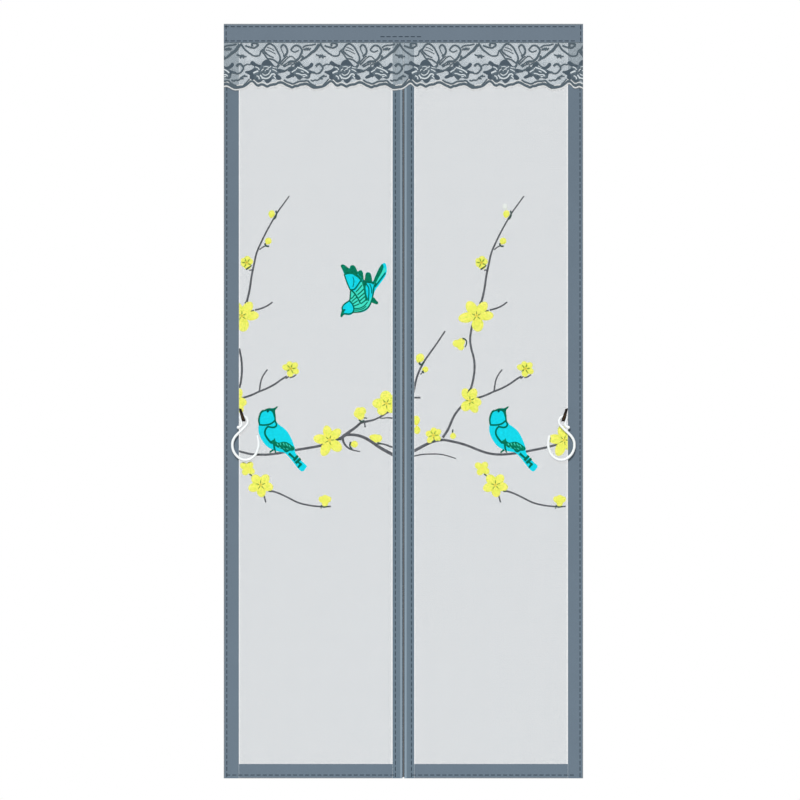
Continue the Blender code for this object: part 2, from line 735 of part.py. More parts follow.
def branches(side, place, window):
    """The grey branches that one leaf shows, each a network of tapered twigs on the net."""
    for name, (leaves, twigs) in BRANCHES.items():
        if place not in leaves:
            continue
        shapes = []
        for start, end, line in twigs:
            points = [leaf_place(side, u, h) for u, h in line]
            shapes += ribbon(points, start * MOTIF_UNIT, end * MOTIF_UNIT)
        network(f"{place}_{name}", shapes, window, STITCH_BACK, STITCH_FRONT, BRANCH_GREY)


def blossom_outline(side, u, h, radius, petals, turn):
    """Round petals with a notch between each two, as (x, z) points."""
    steps = petals * BLOSSOM_PETAL_STEPS
    outline = []
    for step in range(steps):
        angle = 2 * math.pi * step / steps
        reach = radius * (1 - BLOSSOM_NOTCH * (1 - abs(math.cos(petals * angle / 2)) ** 0.5))
        angle += math.radians(turn)
        outline.append(leaf_place(side, u + reach * math.cos(angle), h + reach * math.sin(angle)))
    return outline


def blossoms(side, place, window):
    """The yellow blossoms and buds that one leaf shows, in front of its branches."""
    for name, (leaves, u, h, radius, petals, turn) in BLOSSOMS.items():
        if place in leaves:
            outline = blossom_outline(side, u, h, radius, petals, turn)
            back = STITCH_BACK if name in LOOSE_BLOSSOMS else BLOSSOM_BACK
            network(f"{place}_{name}", [outline], window, back, back - BLOSSOM_HEIGHT, BLOSSOM_YELLOW)


def bird(side, name, body, wing, nudge, body_back):
    """A bird and the dark wing patch on it."""
    body_front = body_back - BLOSSOM_HEIGHT
    patch_back = body_front - CLEARANCE
    layers = (
        (f"{name}_body", body, body_back, body_front, BIRD_BLUE),
        (f"{name}_wing", wing, patch_back, patch_back - STITCH_HEIGHT, WING_GREEN),
    )
    for part, line, back, front, finish in layers:
        outline = [leaf_place(side, u + nudge, h) for u, h in line]
        piece(part, flat_mesh([smooth_line(outline, BIRD_STEPS, closed=True)], back, front), finish)


def embroidery():
    """All that is stitched on the two leaves."""
    for place, side in (("left", -1), ("right", 1)):
        window = leaf_window(side)
        branches(side, place, window)
        blossoms(side, place, window)
        nudge = PERCHED_NUDGE[place]
        bird(side, f"{place}_perched_bird", PERCHED_BIRD, PERCHED_WING, nudge, BLOSSOM_BACK)
    bird(-1, "flying_bird", FLYING_BIRD, FLYING_WING, 0.0, STITCH_BACK)


# Hooks

# Middle line of a hook's wire in steps of its length, from the top bend inwards (d) and
# upwards (h).
HOOK_LINE = [
    (-103, -256), (-43, -235), (-21, -179), (-47, -103), (-73, -43), (-68, -9), (-47, 13), (0, 13),
    (47, 13), (85, -13), (111, -51), (115, -111), (94, -179), (34, -252), (-34, -321), (-145, -427),
    (-226, -538), (-252, -667), (-222, -803), (-132, -923), (0, -987), (137, -987), (265, -919),
    (359, -786), (385, -641), (355, -487),
]  # fmt: skip
HOOK_BEND_RISE = 13
HOOK_STEPS = 2


def hook_top(side):
    """The middle of the wire's top bend."""
    return Vector((side * (SIDE_INNER - HOOK_TOP_REACH), HOOK_MIDDLE, FOOT + HOOK_TOP_HEIGHT))


def hook(name, side):
    """A white coated wire hook: a small bend at the top and an open bowl below."""
    curve = bpy.data.curves.new(name, "CURVE")
    curve.dimensions = "3D"
    curve.bevel_depth = HOOK_WIRE / 2
    curve.bevel_resolution = 2
    curve.use_fill_caps = True
    line = smooth_line(HOOK_LINE, HOOK_STEPS)
    spline = curve.splines.new("POLY")
    spline.points.add(len(line) - 1)
    for point, (inwards, up) in zip(spline.points, line):
        place = hook_top(side) + Vector((-side * inwards, 0.0, up)) * HOOK_LENGTH / DRAWING_STEPS
        point.co = (*place, 1.0)
    obj = bpy.data.objects.new(name, curve)
    curve.materials.append(material(HOOK_WHITE))
    collection(COLLECTION_NAME).objects.link(obj)


def belt_outline(top, top_radius, low, low_radius):
    """The outline of a belt round a small circle above a larger one, as (depth, z) points."""
    span = Vector(top) - Vector(low)
    lean = math.acos((low_radius - top_radius) / span.length)
    upright = math.atan2(span.y, span.x)
    outline = []
    for centre, radius, start, sweep in (
        (top, top_radius, upright + lean, -2 * lean),
        (low, low_radius, upright - lean, 2 * lean - 2 * math.pi),
    ):
        for step in range(LOOP_ARC_SEGMENTS + 1):
            angle = start + sweep * step / LOOP_ARC_SEGMENTS
            outline.append((centre[0] + radius * math.cos(angle), centre[1] + radius * math.sin(angle)))
    return outline


def hook_loop(name, side):
    """The ribbon loop from the side binding's inner edge round the hook's top bend."""
    wire = hook_top(side) + Vector((0.0, 0.0, HOOK_BEND_RISE * HOOK_LENGTH / DRAWING_STEPS))
    top_radius = LOOP_TOP_SPACE / 2 + LOOP_THICKNESS
    low_radius = HOOK_WIRE / 2 + LOOP_SLACK + LOOP_THICKNESS
    top = (STITCH_BACK - top_radius, FOOT + LOOP_TOP_HEIGHT - top_radius)
    low = (wire.y, wire.z)
    outlines = [
        belt_outline(top, top_radius, low, low_radius),
        belt_outline(top, top_radius - LOOP_THICKNESS, low, low_radius - LOOP_THICKNESS),
    ]
    mesh = flat_mesh(outlines, LOOP_WIDTH / 2, -LOOP_WIDTH / 2)
    high, bottom = FOOT + LOOP_TOP_HEIGHT, wire.z - low_radius
    top_middle = SIDE_INNER - CLEARANCE - LOOP_TOP_WIDTH / 2
    for vertex in mesh.vertices:
        depth, across, z = vertex.co
        share = (high - z) / (high - bottom)
        width = LOOP_TOP_WIDTH / LOOP_WIDTH * (1 - share) + share
        middle = top_middle * (1 - share) + (SIDE_INNER - HOOK_TOP_REACH) * share
        vertex.co = (side * middle + side * across * width, depth, z)
    weld(mesh)
    soften(mesh)
    piece(name, mesh, LOOP_BLACK)


def build():
    """Models the whole curtain."""
    clear_scene()
    header_band()
    for place, side in (("left", -1), ("right", 1)):
        side_binding(f"{place}_side_binding", side)
        foot_binding(f"{place}_foot_binding", side)
        sleeve_ribbon(f"{place}_sleeve_front", side, -1)
        sleeve_ribbon(f"{place}_sleeve_back", side, 1)
        magnet_strip(f"{place}_magnet_strip", side)
        net_leaf(f"{place}_net", side)
        hook(f"{place}_hook", side)
        hook_loop(f"{place}_hook_loop", side)
    tapes()
    lace_ground()
    lace_cordwork()
    embroidery()


build()
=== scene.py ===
"""Dressed scene of the magnetic insect screen.

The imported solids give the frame. The net, the lace, the embroidery and the hooks are modelled
again with their real detail, and the ribbons, tapes and magnets keep their solids and get a
woven, knitted or moulded finish.
"""

import logging
import math
from dataclasses import dataclass
from enum import Enum

import bpy
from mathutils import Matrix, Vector


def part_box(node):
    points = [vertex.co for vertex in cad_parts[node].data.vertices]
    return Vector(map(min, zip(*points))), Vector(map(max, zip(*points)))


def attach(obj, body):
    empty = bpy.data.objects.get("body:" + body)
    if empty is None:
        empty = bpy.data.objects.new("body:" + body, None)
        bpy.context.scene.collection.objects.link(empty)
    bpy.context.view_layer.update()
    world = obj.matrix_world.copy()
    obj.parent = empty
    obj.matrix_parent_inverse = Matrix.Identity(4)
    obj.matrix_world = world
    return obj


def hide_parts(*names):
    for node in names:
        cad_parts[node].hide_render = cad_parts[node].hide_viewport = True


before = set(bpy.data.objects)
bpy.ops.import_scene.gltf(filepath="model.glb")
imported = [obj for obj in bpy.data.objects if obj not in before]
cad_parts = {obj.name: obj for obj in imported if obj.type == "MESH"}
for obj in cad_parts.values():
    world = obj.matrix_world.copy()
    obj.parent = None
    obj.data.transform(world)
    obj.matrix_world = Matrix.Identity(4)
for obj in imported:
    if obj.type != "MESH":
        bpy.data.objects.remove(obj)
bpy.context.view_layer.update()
LOG = logging.getLogger("insect_screen")

Colour = tuple[float, float, float]
Point = tuple[float, float]


# Measures


@dataclass(frozen=True)
class PhotoGrid:
    """Turns a column and a row of the photo's 800 by 800 grid into metres."""

    step: float = 0.002786
    middle_column: float = 403.4
    foot_row: float = 778.0
    foot: float = -2.0735

    def place(self, column: float, row: float) -> Point:
        """Gives the place (x, z) of a column and a row."""
        return (column - self.middle_column) * self.step, self.foot + (self.foot_row - row) * self.step

    def enlarged(self, times: float, column: float, row: float) -> "PhotoGrid":
        """Gives the grid of a detail that is traced enlarged, from its upper left corner."""
        return PhotoGrid(
            self.step / times, (self.middle_column - column) * times, (self.foot_row - row) * times, self.foot
        )


LEAF_GRID = PhotoGrid()
LACE_GRID = PhotoGrid(foot_row=777.75)
PERCHED_GRID = LEAF_GRID.enlarged(13.571, 255.0, 404.0)
FLYING_GRID = LEAF_GRID.enlarged(12.667, 335.0, 258.0)
HOOK_GRID = LEAF_GRID.enlarged(17.273, 226.0, 400.0)


SIDES = (("left", -1), ("right", 1))

HALF_WIDTH = 0.500
SIDE_INNER = 0.458
SLEEVE_OUTER = 0.030
TOP = 0.0265
FOOT = -2.0735
HEADER_FOOT = -0.0265
FOOT_BINDING_TOP = -2.0335
DRAWING_STEP = 0.000428
LEAF_OFFSET = SLEEVE_OUTER + SIDE_INNER + 386 * DRAWING_STEP


class Layer(Enum):
    """Depths (y) of the layers, from the door frame at 0 towards the viewer."""

    NET = -0.0052
    BINDING_FRONT = -0.0062
    BINDING_BACK = -0.0042
    BRANCH = -0.0060
    PETAL = -0.00695
    LOOSE_PETAL = -0.00605
    LACE_GROUND = -0.0079
    HEADER_FRONT = -0.0089


# Node work


WOBBLE_SCALE = 180.0
WOBBLE_REACH = 0.0012
FLECK_SCALE = 420.0
SPECKLE_TIMES = 60.0


class Graph:
    """Adds nodes to one node tree and links them."""

    def __init__(self, tree: bpy.types.NodeTree) -> None:
        """Keeps the tree to work in."""
        self.tree = tree

    def node(self, kind: str, **settings: object) -> bpy.types.Node:
        """Adds a node.

        Args:
            kind: The node's type name.
            settings: Properties to set on it.

        Returns:
            The new node.
        """
        node = self.tree.nodes.new(kind)
        for key, value in settings.items():
            setattr(node, key, value)
        return node

    def feed(self, socket: bpy.types.NodeSocket, value: object) -> None:
        """Links an output to a socket, or writes a plain value on it."""
        if isinstance(value, bpy.types.NodeSocket):
            self.tree.links.new(value, socket)
        else:
            socket.default_value = value

    def math(self, operation: str, *values: object) -> bpy.types.NodeSocket:
        """Adds a Math node with these inputs and gives its output."""
        node = self.node("ShaderNodeMath", operation=operation)
        for socket, value in zip(node.inputs, values):
            self.feed(socket, value)
        return node.outputs[0]

    def mix(self, share: object, first: object, second: object) -> bpy.types.NodeSocket:
        """Adds a colour mix and gives its output."""
        node = self.node("ShaderNodeMix", data_type="RGBA")
        self.feed(node.inputs[0], share)
        for socket, value in ((node.inputs[6], first), (node.inputs[7], second)):
            self.feed(socket, value if isinstance(value, bpy.types.NodeSocket) else (*value, 1.0))
        return node.outputs[2]

    def multiplied(self, colour: object, level: object) -> bpy.types.NodeSocket:
        """Adds a colour mix that multiplies a colour by a level and gives its output."""
        node = self.node("ShaderNodeMix", data_type="RGBA", blend_type="MULTIPLY")
        node.inputs[0].default_value = 1.0
        self.feed(node.inputs[6], colour if isinstance(colour, bpy.types.NodeSocket) else (*colour, 1.0))
        self.feed(node.inputs[7], level)
        return node.outputs[2]

    def axes(self, vector: object) -> tuple[bpy.types.NodeSocket, ...]:
        """Splits a vector into its three parts."""
        node = self.node("ShaderNodeSeparateXYZ")
        self.feed(node.inputs[0], vector)
        return tuple(node.outputs)

    def turned(self, vector: object, degrees: float) -> bpy.types.NodeSocket:
        """Turns a vector about the line of sight."""
        node = self.node("ShaderNodeMapping")
        node.inputs["Rotation"].default_value = (0.0, math.radians(degrees), 0.0)
        self.feed(node.inputs["Vector"], vector)
        return node.outputs[0]

    def noise(self, vector: object, scale: object, detail: float = 3.0) -> bpy.types.NodeSocket:
        """Adds a noise texture and gives its value."""
        node = self.node("ShaderNodeTexNoise")
        self.feed(node.inputs["Vector"], vector)
        self.feed(node.inputs["Scale"], scale)
        node.inputs["Detail"].default_value = detail
        return node.outputs[0]

    def group(self, tree: bpy.types.NodeTree, **values: object) -> bpy.types.Node:
        """Places a node group with these inputs."""
        node = self.node("ShaderNodeGroup")
        node.node_tree = tree
        for name, value in values.items():
            self.feed(node.inputs[name], value)
        return node


def new_group(
    name: str, inputs: dict[str, str], outputs: dict[str, str]
) -> tuple[Graph, bpy.types.Node, bpy.types.Node]:
    """Starts a shader node group with named inputs and outputs.

    Args:
        name: The group's name.
        inputs: Each input's name and socket type.
        outputs: Each output's name and socket type.

    Returns:
        The group's graph, its input node and its output node.
    """
    tree = bpy.data.node_groups.new(name, "ShaderNodeTree")
    for way, sockets in (("INPUT", inputs), ("OUTPUT", outputs)):
        for label, kind in sockets.items():
            tree.interface.new_socket(label, in_out=way, socket_type=kind)
    graph = Graph(tree)
    return graph, graph.node("NodeGroupInput"), graph.node("NodeGroupOutput")


VECTOR = "NodeSocketVector"
FLOAT = "NodeSocketFloat"


def thread_wave(graph: Graph, position: object, pitch: object) -> bpy.types.NodeSocket:
    """Gives the round height, 0 to 1, of threads that lie side by side at a pitch."""
    turn = graph.math("MULTIPLY", graph.math("DIVIDE", position, pitch), math.pi)
    return graph.math("ABSOLUTE", graph.math("SINE", turn))


def weave_group() -> bpy.types.NodeTree:
    """Plain weave: warp and weft threads that pass over and under each other."""
    graph, given, out = new_group("plain_weave", {"Vector": VECTOR, "Pitch": FLOAT}, {"Height": FLOAT})
    x, _, z = graph.axes(given.outputs["Vector"])
    pitch = given.outputs["Pitch"]
    warp, weft = thread_wave(graph, x, pitch), thread_wave(graph, z, pitch)
    signs = []
    for position in (x, z):
        half = graph.math("MULTIPLY", graph.math("DIVIDE", position, pitch), math.pi)
        signs.append(graph.math("SIGN", graph.math("SINE", half)))
    over = graph.math("MULTIPLY_ADD", graph.math("MULTIPLY", *signs), 0.5, 0.5)
    under = graph.math("SUBTRACT", 1.0, over)
    height = graph.math(
        "ADD", graph.math("MULTIPLY", warp, over), graph.math("MULTIPLY", weft, under)
    )
    graph.feed(out.inputs["Height"], height)
    return graph.tree


def mesh_group() -> bpy.types.NodeTree:
    """Open mesh: the share of a thread at each place, 1 on a thread and 0 in a hole."""
    graph, given, out = new_group(
        "open_mesh", {"Vector": VECTOR, "Pitch": FLOAT, "Thread": FLOAT}, {"Cover": FLOAT}
    )
    x, _, z = graph.axes(given.outputs["Vector"])
    threads = []
    for position in (x, z):
        cell = graph.math("FRACT", graph.math("DIVIDE", position, given.outputs["Pitch"]))
        from_edge = graph.math("MULTIPLY", cell, given.outputs["Pitch"])
        threads.append(graph.math("LESS_THAN", from_edge, given.outputs["Thread"]))
    graph.feed(out.inputs["Cover"], graph.math("MAXIMUM", *threads))
    return graph.tree


def satin_group() -> bpy.types.NodeTree:
    """Satin stitches: threads laid side by side along the first axis, a little uneven."""
    graph, given, out = new_group(
        "satin_rows", {"Vector": VECTOR, "Pitch": FLOAT}, {"Height": FLOAT, "Shade": FLOAT}
    )
    _, _, across = graph.axes(given.outputs["Vector"])
    wobble = graph.noise(given.outputs["Vector"], WOBBLE_SCALE, 2.0)
    shift = graph.math("MULTIPLY", wobble, WOBBLE_REACH)
    height = thread_wave(graph, graph.math("ADD", across, shift), given.outputs["Pitch"])
    fleck = graph.noise(given.outputs["Vector"], FLECK_SCALE, 1.0)
    graph.feed(out.inputs["Height"], height)
    # Shade mixes the rows' round height, which the finishes paint as shade and highlight, with a fine random fleck.
    graph.feed(out.inputs["Shade"], graph.math("MULTIPLY", graph.math("ADD", height, fleck), 0.5))
    return graph.tree


def wear_group() -> bpy.types.NodeTree:
    """Uneven dye and dust: soft large clouds and a fine speckle, 0 to 1."""
    graph, given, out = new_group("wear", {"Vector": VECTOR, "Scale": FLOAT}, {"Shade": FLOAT})
    vector, scale = given.outputs["Vector"], given.outputs["Scale"]
    cloud = graph.noise(vector, scale, 4.0)
    speckle = graph.noise(vector, graph.math("MULTIPLY", scale, SPECKLE_TIMES), 1.0)
    graph.feed(out.inputs["Shade"], graph.math("MULTIPLY", graph.math("ADD", cloud, speckle), 0.5))
    return graph.tree


def band_group() -> bpy.types.NodeTree:
    """A band with soft edges: 1 from Near to Far along one axis and 0 outside."""
    graph, given, out = new_group(
        "soft_band", {"Position": FLOAT, "Near": FLOAT, "Far": FLOAT, "Blur": FLOAT}, {"Mask": FLOAT}
    )
    position, blur = given.outputs["Position"], given.outputs["Blur"]
    after = graph.math("DIVIDE", graph.math("SUBTRACT", position, given.outputs["Near"]), blur)
    before = graph.math("DIVIDE", graph.math("SUBTRACT", given.outputs["Far"], position), blur)
    inside = graph.math("MINIMUM", after, before)
    clamp = graph.node("ShaderNodeClamp")
    graph.feed(clamp.inputs["Value"], graph.math("ADD", inside, 0.5))
    graph.feed(out.inputs["Mask"], clamp.outputs[0])
    return graph.tree


WEAVE = weave_group()
MESH = mesh_group()
SATIN = satin_group()
WEAR = wear_group()
BAND = band_group()


# Finishes


def from_screen(red: int, green: int, blue: int) -> Colour:
    """Turns a colour as seen on a screen, 0 to 255, into the linear colour of a material."""
    return tuple(((value / 255 + 0.055) / 1.055) ** 2.4 if value > 10 else value / 255 / 12.92
                 for value in (red, green, blue))


def shaded(colour: Colour, share: float) -> Colour:
    """Gives a colour a share lighter or darker."""
    return tuple(min(1.0, value * share) for value in colour)


@dataclass(frozen=True)
class Band:
    """A stripe of another colour along a ribbon, or of finer thread along a net.

    across is True where the stripe is measured sideways from the middle of the curtain, and
    False where it is measured upwards.
    """

    across: bool
    near: float
    far: float
    colour: Colour = (1.0, 1.0, 1.0)
    blur: float = 0.0006

    def mask(self, graph: Graph, vector: bpy.types.NodeSocket) -> bpy.types.NodeSocket:
        """Gives the stripe's mask for a vector in metres."""
        x, _, z = graph.axes(vector)
        position = graph.math("ABSOLUTE", x) if self.across else z
        group = graph.group(BAND, Position=position, Near=self.near, Far=self.far, Blur=self.blur)
        return group.outputs["Mask"]


@dataclass(frozen=True)
class Finish:
    """A material with its colour and gloss; each kind adds its own surface."""

    name: str
    colour: Colour
    roughness: float
    slot: str
    gloss: float = 0.12

    def build(self) -> bpy.types.Material:
        """Builds the material once and gives it."""
        found = bpy.data.materials.get(self.name)
        if found:
            return found
        material = bpy.data.materials.new(self.name)
        material.use_nodes = True
        graph = Graph(material.node_tree)
        shader = material.node_tree.nodes["Principled BSDF"]
        shader.inputs["Roughness"].default_value = self.roughness
        shader.inputs["Specular IOR Level"].default_value = self.gloss
        shader.inputs["Base Color"].default_value = (*self.colour, 1.0)
        coordinates = graph.node("ShaderNodeTexCoord")
        self.surface(graph, shader, coordinates)
        return material

    def surface(self, graph: Graph, shader: bpy.types.Node, coordinates: bpy.types.Node) -> None:
        """Adds the finish's own nodes."""

    def bump(self, graph: Graph, shader: bpy.types.Node, height: object, depth: float) -> None:
        """Feeds a height to the shader's normal, its full height being depth in metres."""
        node = graph.node("ShaderNodeBump")
        node.inputs["Strength"].default_value = 1.0
        node.inputs["Distance"].default_value = depth
        graph.feed(node.inputs["Height"], height)
        graph.feed(shader.inputs["Normal"], node.outputs[0])

    def worn(self, graph: Graph, vector: object, colour: object, scale: float, share: float) -> object:
        """Gives the colour with uneven dye and dust over it."""
        shade = graph.group(WEAR, Vector=vector, Scale=scale).outputs["Shade"]
        return graph.multiplied(colour, graph.math("MULTIPLY_ADD", shade, 2 * share, 1.0 - share))


@dataclass(frozen=True)
class Ribbon(Finish):
    """Woven ribbon, with painted shade and highlight on its weave, and stripes of another colour along its edges where
    bands are given.
    """

    bands: tuple[Band, ...] = ()
    pitch: float = 0.0009
    painted_light_levels: tuple[float, float] = (0.86, 1.07)
    mottle: tuple[float, float] = (9.0, 0.10)
    depth: float = 0.0001

    def surface(self, graph: Graph, shader: bpy.types.Node, coordinates: bpy.types.Node) -> None:
        """Adds the weave with painted shade on its low threads and painted highlight on its high ones, the stripes
        along the edges and the uneven dye.
        """
        vector = coordinates.outputs["Object"]
        height = graph.group(WEAVE, Vector=vector, Pitch=self.pitch).outputs["Height"]
        # Darker and lighter copies of the colour follow the weave's height: painted shade and highlight.
        colour = graph.mix(height, *(shaded(self.colour, share) for share in self.painted_light_levels))
        for band in self.bands:
            colour = graph.mix(band.mask(graph, vector), colour, band.colour)
        graph.feed(shader.inputs["Base Color"], self.worn(graph, vector, colour, *self.mottle))
        rough = graph.math("MULTIPLY_ADD", height, -0.10, self.roughness + 0.05)
        graph.feed(shader.inputs["Roughness"], rough)
        self.bump(graph, shader, height, self.depth)


@dataclass(frozen=True)
class Net(Finish):
    """Open net: dark thread with holes between, finer in the stripes."""

    pitch: float = 0.0016
    thread: float = 0.00029
    turn: float = 0.0
    bands: tuple[Band, ...] = ()
    painted_light_levels: tuple[float, float] = (0.75, 1.25)
    mottle: tuple[float, float] = (5.0, 0.12)

    def surface(self, graph: Graph, shader: bpy.types.Node, coordinates: bpy.types.Node) -> None:
        """Adds the open mesh, with painted shade and highlight across each thread."""
        vector = coordinates.outputs["Object"]
        turned = graph.turned(vector, self.turn)
        thread: object = self.thread
        for band in self.bands:
            narrow = graph.math("MULTIPLY_ADD", band.mask(graph, vector), -0.5, 1.0)
            thread = graph.math("MULTIPLY", thread, narrow)
        cover = graph.group(MESH, Vector=turned, Pitch=self.pitch, Thread=thread)
        graph.feed(shader.inputs["Alpha"], cover.outputs["Cover"])
        # Darker and lighter copies of the thread's colour across each thread: painted shade and highlight.
        painted_thread_shade = graph.group(SATIN, Vector=turned, Pitch=self.thread).outputs["Shade"]
        colour = graph.mix(painted_thread_shade, *(shaded(self.colour, share) for share in self.painted_light_levels))
        graph.feed(shader.inputs["Base Color"], self.worn(graph, vector, colour, *self.mottle))


@dataclass(frozen=True)
class Thread(Finish):
    """Satin stitches or cord: rows of thread at a turn and pitch."""

    turn: float = 0.0
    pitch: float = 0.0011
    contrast: float = 0.35
    depth: float = 0.00025
    mottle: tuple[float, float] = (40.0, 0.08)

    def surface(self, graph: Graph, shader: bpy.types.Node, coordinates: bpy.types.Node) -> None:
        """Adds the rows of thread, with painted shade between them and painted highlight on their tops, and their
        sheen from roughness.
        """
        vector = graph.turned(coordinates.outputs["Object"], self.turn)
        rows = graph.group(SATIN, Vector=vector, Pitch=self.pitch)
        # The darker and lighter copies of the colour across the rows are painted shade and highlight.
        dark, light = shaded(self.colour, 1 - self.contrast), shaded(self.colour, 1 + self.contrast / 2)
        colour = graph.mix(rows.outputs["Shade"], dark, light)
        graph.feed(shader.inputs["Base Color"], self.worn(graph, vector, colour, *self.mottle))
        rough = graph.math("MULTIPLY_ADD", rows.outputs["Shade"], -0.15, self.roughness + 0.08)
        graph.feed(shader.inputs["Roughness"], rough)
        self.bump(graph, shader, rows.outputs["Height"], self.depth)


@dataclass(frozen=True)
class PetalThread(Thread):
    """Satin stitches that run from the foot of each petal to its tip, on the petal's own map."""

    foot_colour: Colour = (0.8, 0.6, 0.1)
    middle_colour: Colour = (0.6, 0.7, 0.05)
    rows_round: float = 30.0
    cloud_scale: float = 330.0
    cloud_share: float = 1.3
    heart: tuple[float, float] = (0.30, 0.58)
    foot_end: float = 0.2
    heart_blur: float = 0.2
    spot_scale: float = 300.0
    spot_share: float = 0.8
    warm_from: float = 0.56
    cool_to: float = 0.45
    spot_blur: float = 0.08
    olive_share: float = 0.78

    def surface(self, graph: Graph, shader: bpy.types.Node, coordinates: bpy.types.Node) -> None:
        """Adds the rows of thread along the petal and its darker heart."""
        around, along, _ = graph.axes(coordinates.outputs["UV"])
        joint = graph.node("ShaderNodeCombineXYZ")
        graph.feed(joint.inputs[0], graph.math("MULTIPLY", along, self.pitch * self.rows_round))
        graph.feed(joint.inputs[2], graph.math("MULTIPLY", around, self.pitch * self.rows_round))
        rows = graph.group(SATIN, Vector=joint.outputs[0], Pitch=self.pitch)
        cloud = graph.noise(coordinates.outputs["Object"], self.cloud_scale, 2.0)
        middle = graph.math("SUBTRACT", along, self.cloud_share / 2)
        place = graph.math("MULTIPLY_ADD", cloud, self.cloud_share, middle)
        heart = self.within(graph, place, *self.heart, self.heart_blur)
        foot = self.within(graph, place, -1.0, self.foot_end, self.heart_blur)
        colour = graph.mix(heart, self.colour, self.middle_colour)
        colour = graph.mix(foot, colour, self.foot_colour)
        spots = graph.noise(coordinates.outputs["Object"], self.spot_scale, 2.0)
        warm = self.within(graph, spots, self.warm_from, 2.0, self.spot_blur)
        cool = self.within(graph, spots, -1.0, self.cool_to, self.spot_blur)
        colour = graph.mix(graph.math("MULTIPLY", warm, self.spot_share), colour, self.foot_colour)
        olive = shaded(self.middle_colour, self.olive_share)
        colour = graph.mix(graph.math("MULTIPLY", cool, self.spot_share), colour, olive)
        # Painted shade between the rows of thread along the petal.
        dark = graph.math("MULTIPLY_ADD", rows.outputs["Shade"], self.contrast, 1.0 - self.contrast)
        graph.feed(shader.inputs["Base Color"], graph.multiplied(colour, dark))
        self.bump(graph, shader, rows.outputs["Height"], self.depth)

    def within(self, graph: Graph, position: object, near: float, far: float, blur: float) -> bpy.types.NodeSocket:
        """Gives the mask of the places between near and far."""
        return graph.group(BAND, Position=position, Near=near, Far=far, Blur=blur).outputs["Mask"]


@dataclass(frozen=True)
class Moulded(Finish):
    """Smooth coated or moulded surface with a faint unevenness."""

    coat: float = 0.0
    grain: float = 300.0
    mottle: tuple[float, float] = (30.0, 0.06)
    depth: float = 0.00008

    def surface(self, graph: Graph, shader: bpy.types.Node, coordinates: bpy.types.Node) -> None:
        """Adds the unevenness of a dipped or pressed surface."""
        vector = coordinates.outputs["Object"]
        graph.feed(shader.inputs["Base Color"], self.worn(graph, vector, self.colour, *self.mottle))
        grain = graph.noise(vector, self.grain, 2.0)
        graph.feed(shader.inputs["Roughness"], graph.math("MULTIPLY_ADD", grain, 0.15, self.roughness - 0.07))
        shader.inputs["Coat Weight"].default_value = self.coat
        self.bump(graph, shader, grain, self.depth)


@dataclass(frozen=True)
class Pile(Finish):
    """Hook-and-loop tape: a field of small loops or hooks on a woven ground."""

    rows: float = 900.0
    painted_light_levels: tuple[float, float] = (0.55, 1.25)
    mottle: tuple[float, float] = (25.0, 0.15)
    depth: float = 0.0004

    def surface(self, graph: Graph, shader: bpy.types.Node, coordinates: bpy.types.Node) -> None:
        """Adds the field of loops, with painted highlight on their tops and painted shade between them."""
        vector = coordinates.outputs["Object"]
        cells = graph.node("ShaderNodeTexVoronoi")
        graph.feed(cells.inputs["Vector"], vector)
        cells.inputs["Scale"].default_value = self.rows
        spot = graph.math("SUBTRACT", 1.0, cells.outputs["Distance"])
        # Loop tops lighter and the ground between them darker: painted highlight and shade.
        colour = graph.mix(spot, *(shaded(self.colour, share) for share in self.painted_light_levels))
        graph.feed(shader.inputs["Base Color"], self.worn(graph, vector, colour, *self.mottle))
        self.bump(graph, shader, spot, self.depth)


BINDING_GREY = from_screen(109, 123, 136)
EDGE_HIGHLIGHT_GREY = from_screen(124, 132, 138)
EDGE_GREY = from_screen(104, 119, 132)
RIBBON_ROUGHNESS = 0.78

# The lighter stripes along the outer edges of the header and of the side and foot bindings are painted highlights; the
# header also gets a darker stripe along its foot.
HEADER_RIBBON = Ribbon(
    "header_ribbon", BINDING_GREY, RIBBON_ROUGHNESS, "grey_ribbon",
    bands=(Band(False, TOP - 0.0030, 1.0, EDGE_HIGHLIGHT_GREY),
           Band(False, -1.0, HEADER_FOOT + 0.0015, from_screen(96, 109, 116))),
)
SIDE_RIBBON = Ribbon(
    "side_ribbon", EDGE_GREY, RIBBON_ROUGHNESS, "grey_ribbon",
    bands=(Band(True, HALF_WIDTH - 0.0025, 1.0, EDGE_HIGHLIGHT_GREY),),
)
FOOT_RIBBON = Ribbon(
    "foot_ribbon", EDGE_GREY, RIBBON_ROUGHNESS, "grey_ribbon",
    bands=(Band(False, -9.0, FOOT + 0.0025, EDGE_HIGHLIGHT_GREY),),
)
# The lighter band beside the centre seam is a painted highlight on the sleeve's rounded edge.
SLEEVE_RIBBON = Ribbon(
    "sleeve_ribbon", from_screen(103, 120, 133), RIBBON_ROUGHNESS, "grey_ribbon",
    bands=(Band(True, 0.0030, 0.0090, from_screen(134, 151, 164), 0.0020),),
)
NET = Net(
    "insect_net", (0.070, 0.130, 0.175), 0.6, "net_grey",
    bands=(Band(True, SIDE_INNER - 0.0035, 1.0), Band(True, -1.0, SLEEVE_OUTER + 0.0035)),
)
LACE_NET = Net(
    "lace_tulle", (0.400, 0.465, 0.510), 0.65, "lace_net", pitch=0.0022, thread=0.00100, turn=45.0,
)
LACE_CORD = Thread("lace_cord", from_screen(42, 55, 66), 0.6, "lace_cord", turn=35.0, pitch=0.0009, gloss=0.05)
LACE_FILL = Thread("lace_fill", from_screen(76, 90, 101), 0.6, "lace_cord", turn=-20.0, pitch=0.0012)
LACE_WORK = Thread("lace_work", from_screen(100, 114, 124), 0.65, "lace_cord", turn=60.0, pitch=0.0014)
LACE_LIGHT = Thread("lace_light_cord", from_screen(222, 231, 235), 0.7, "lace_net", pitch=0.0008)
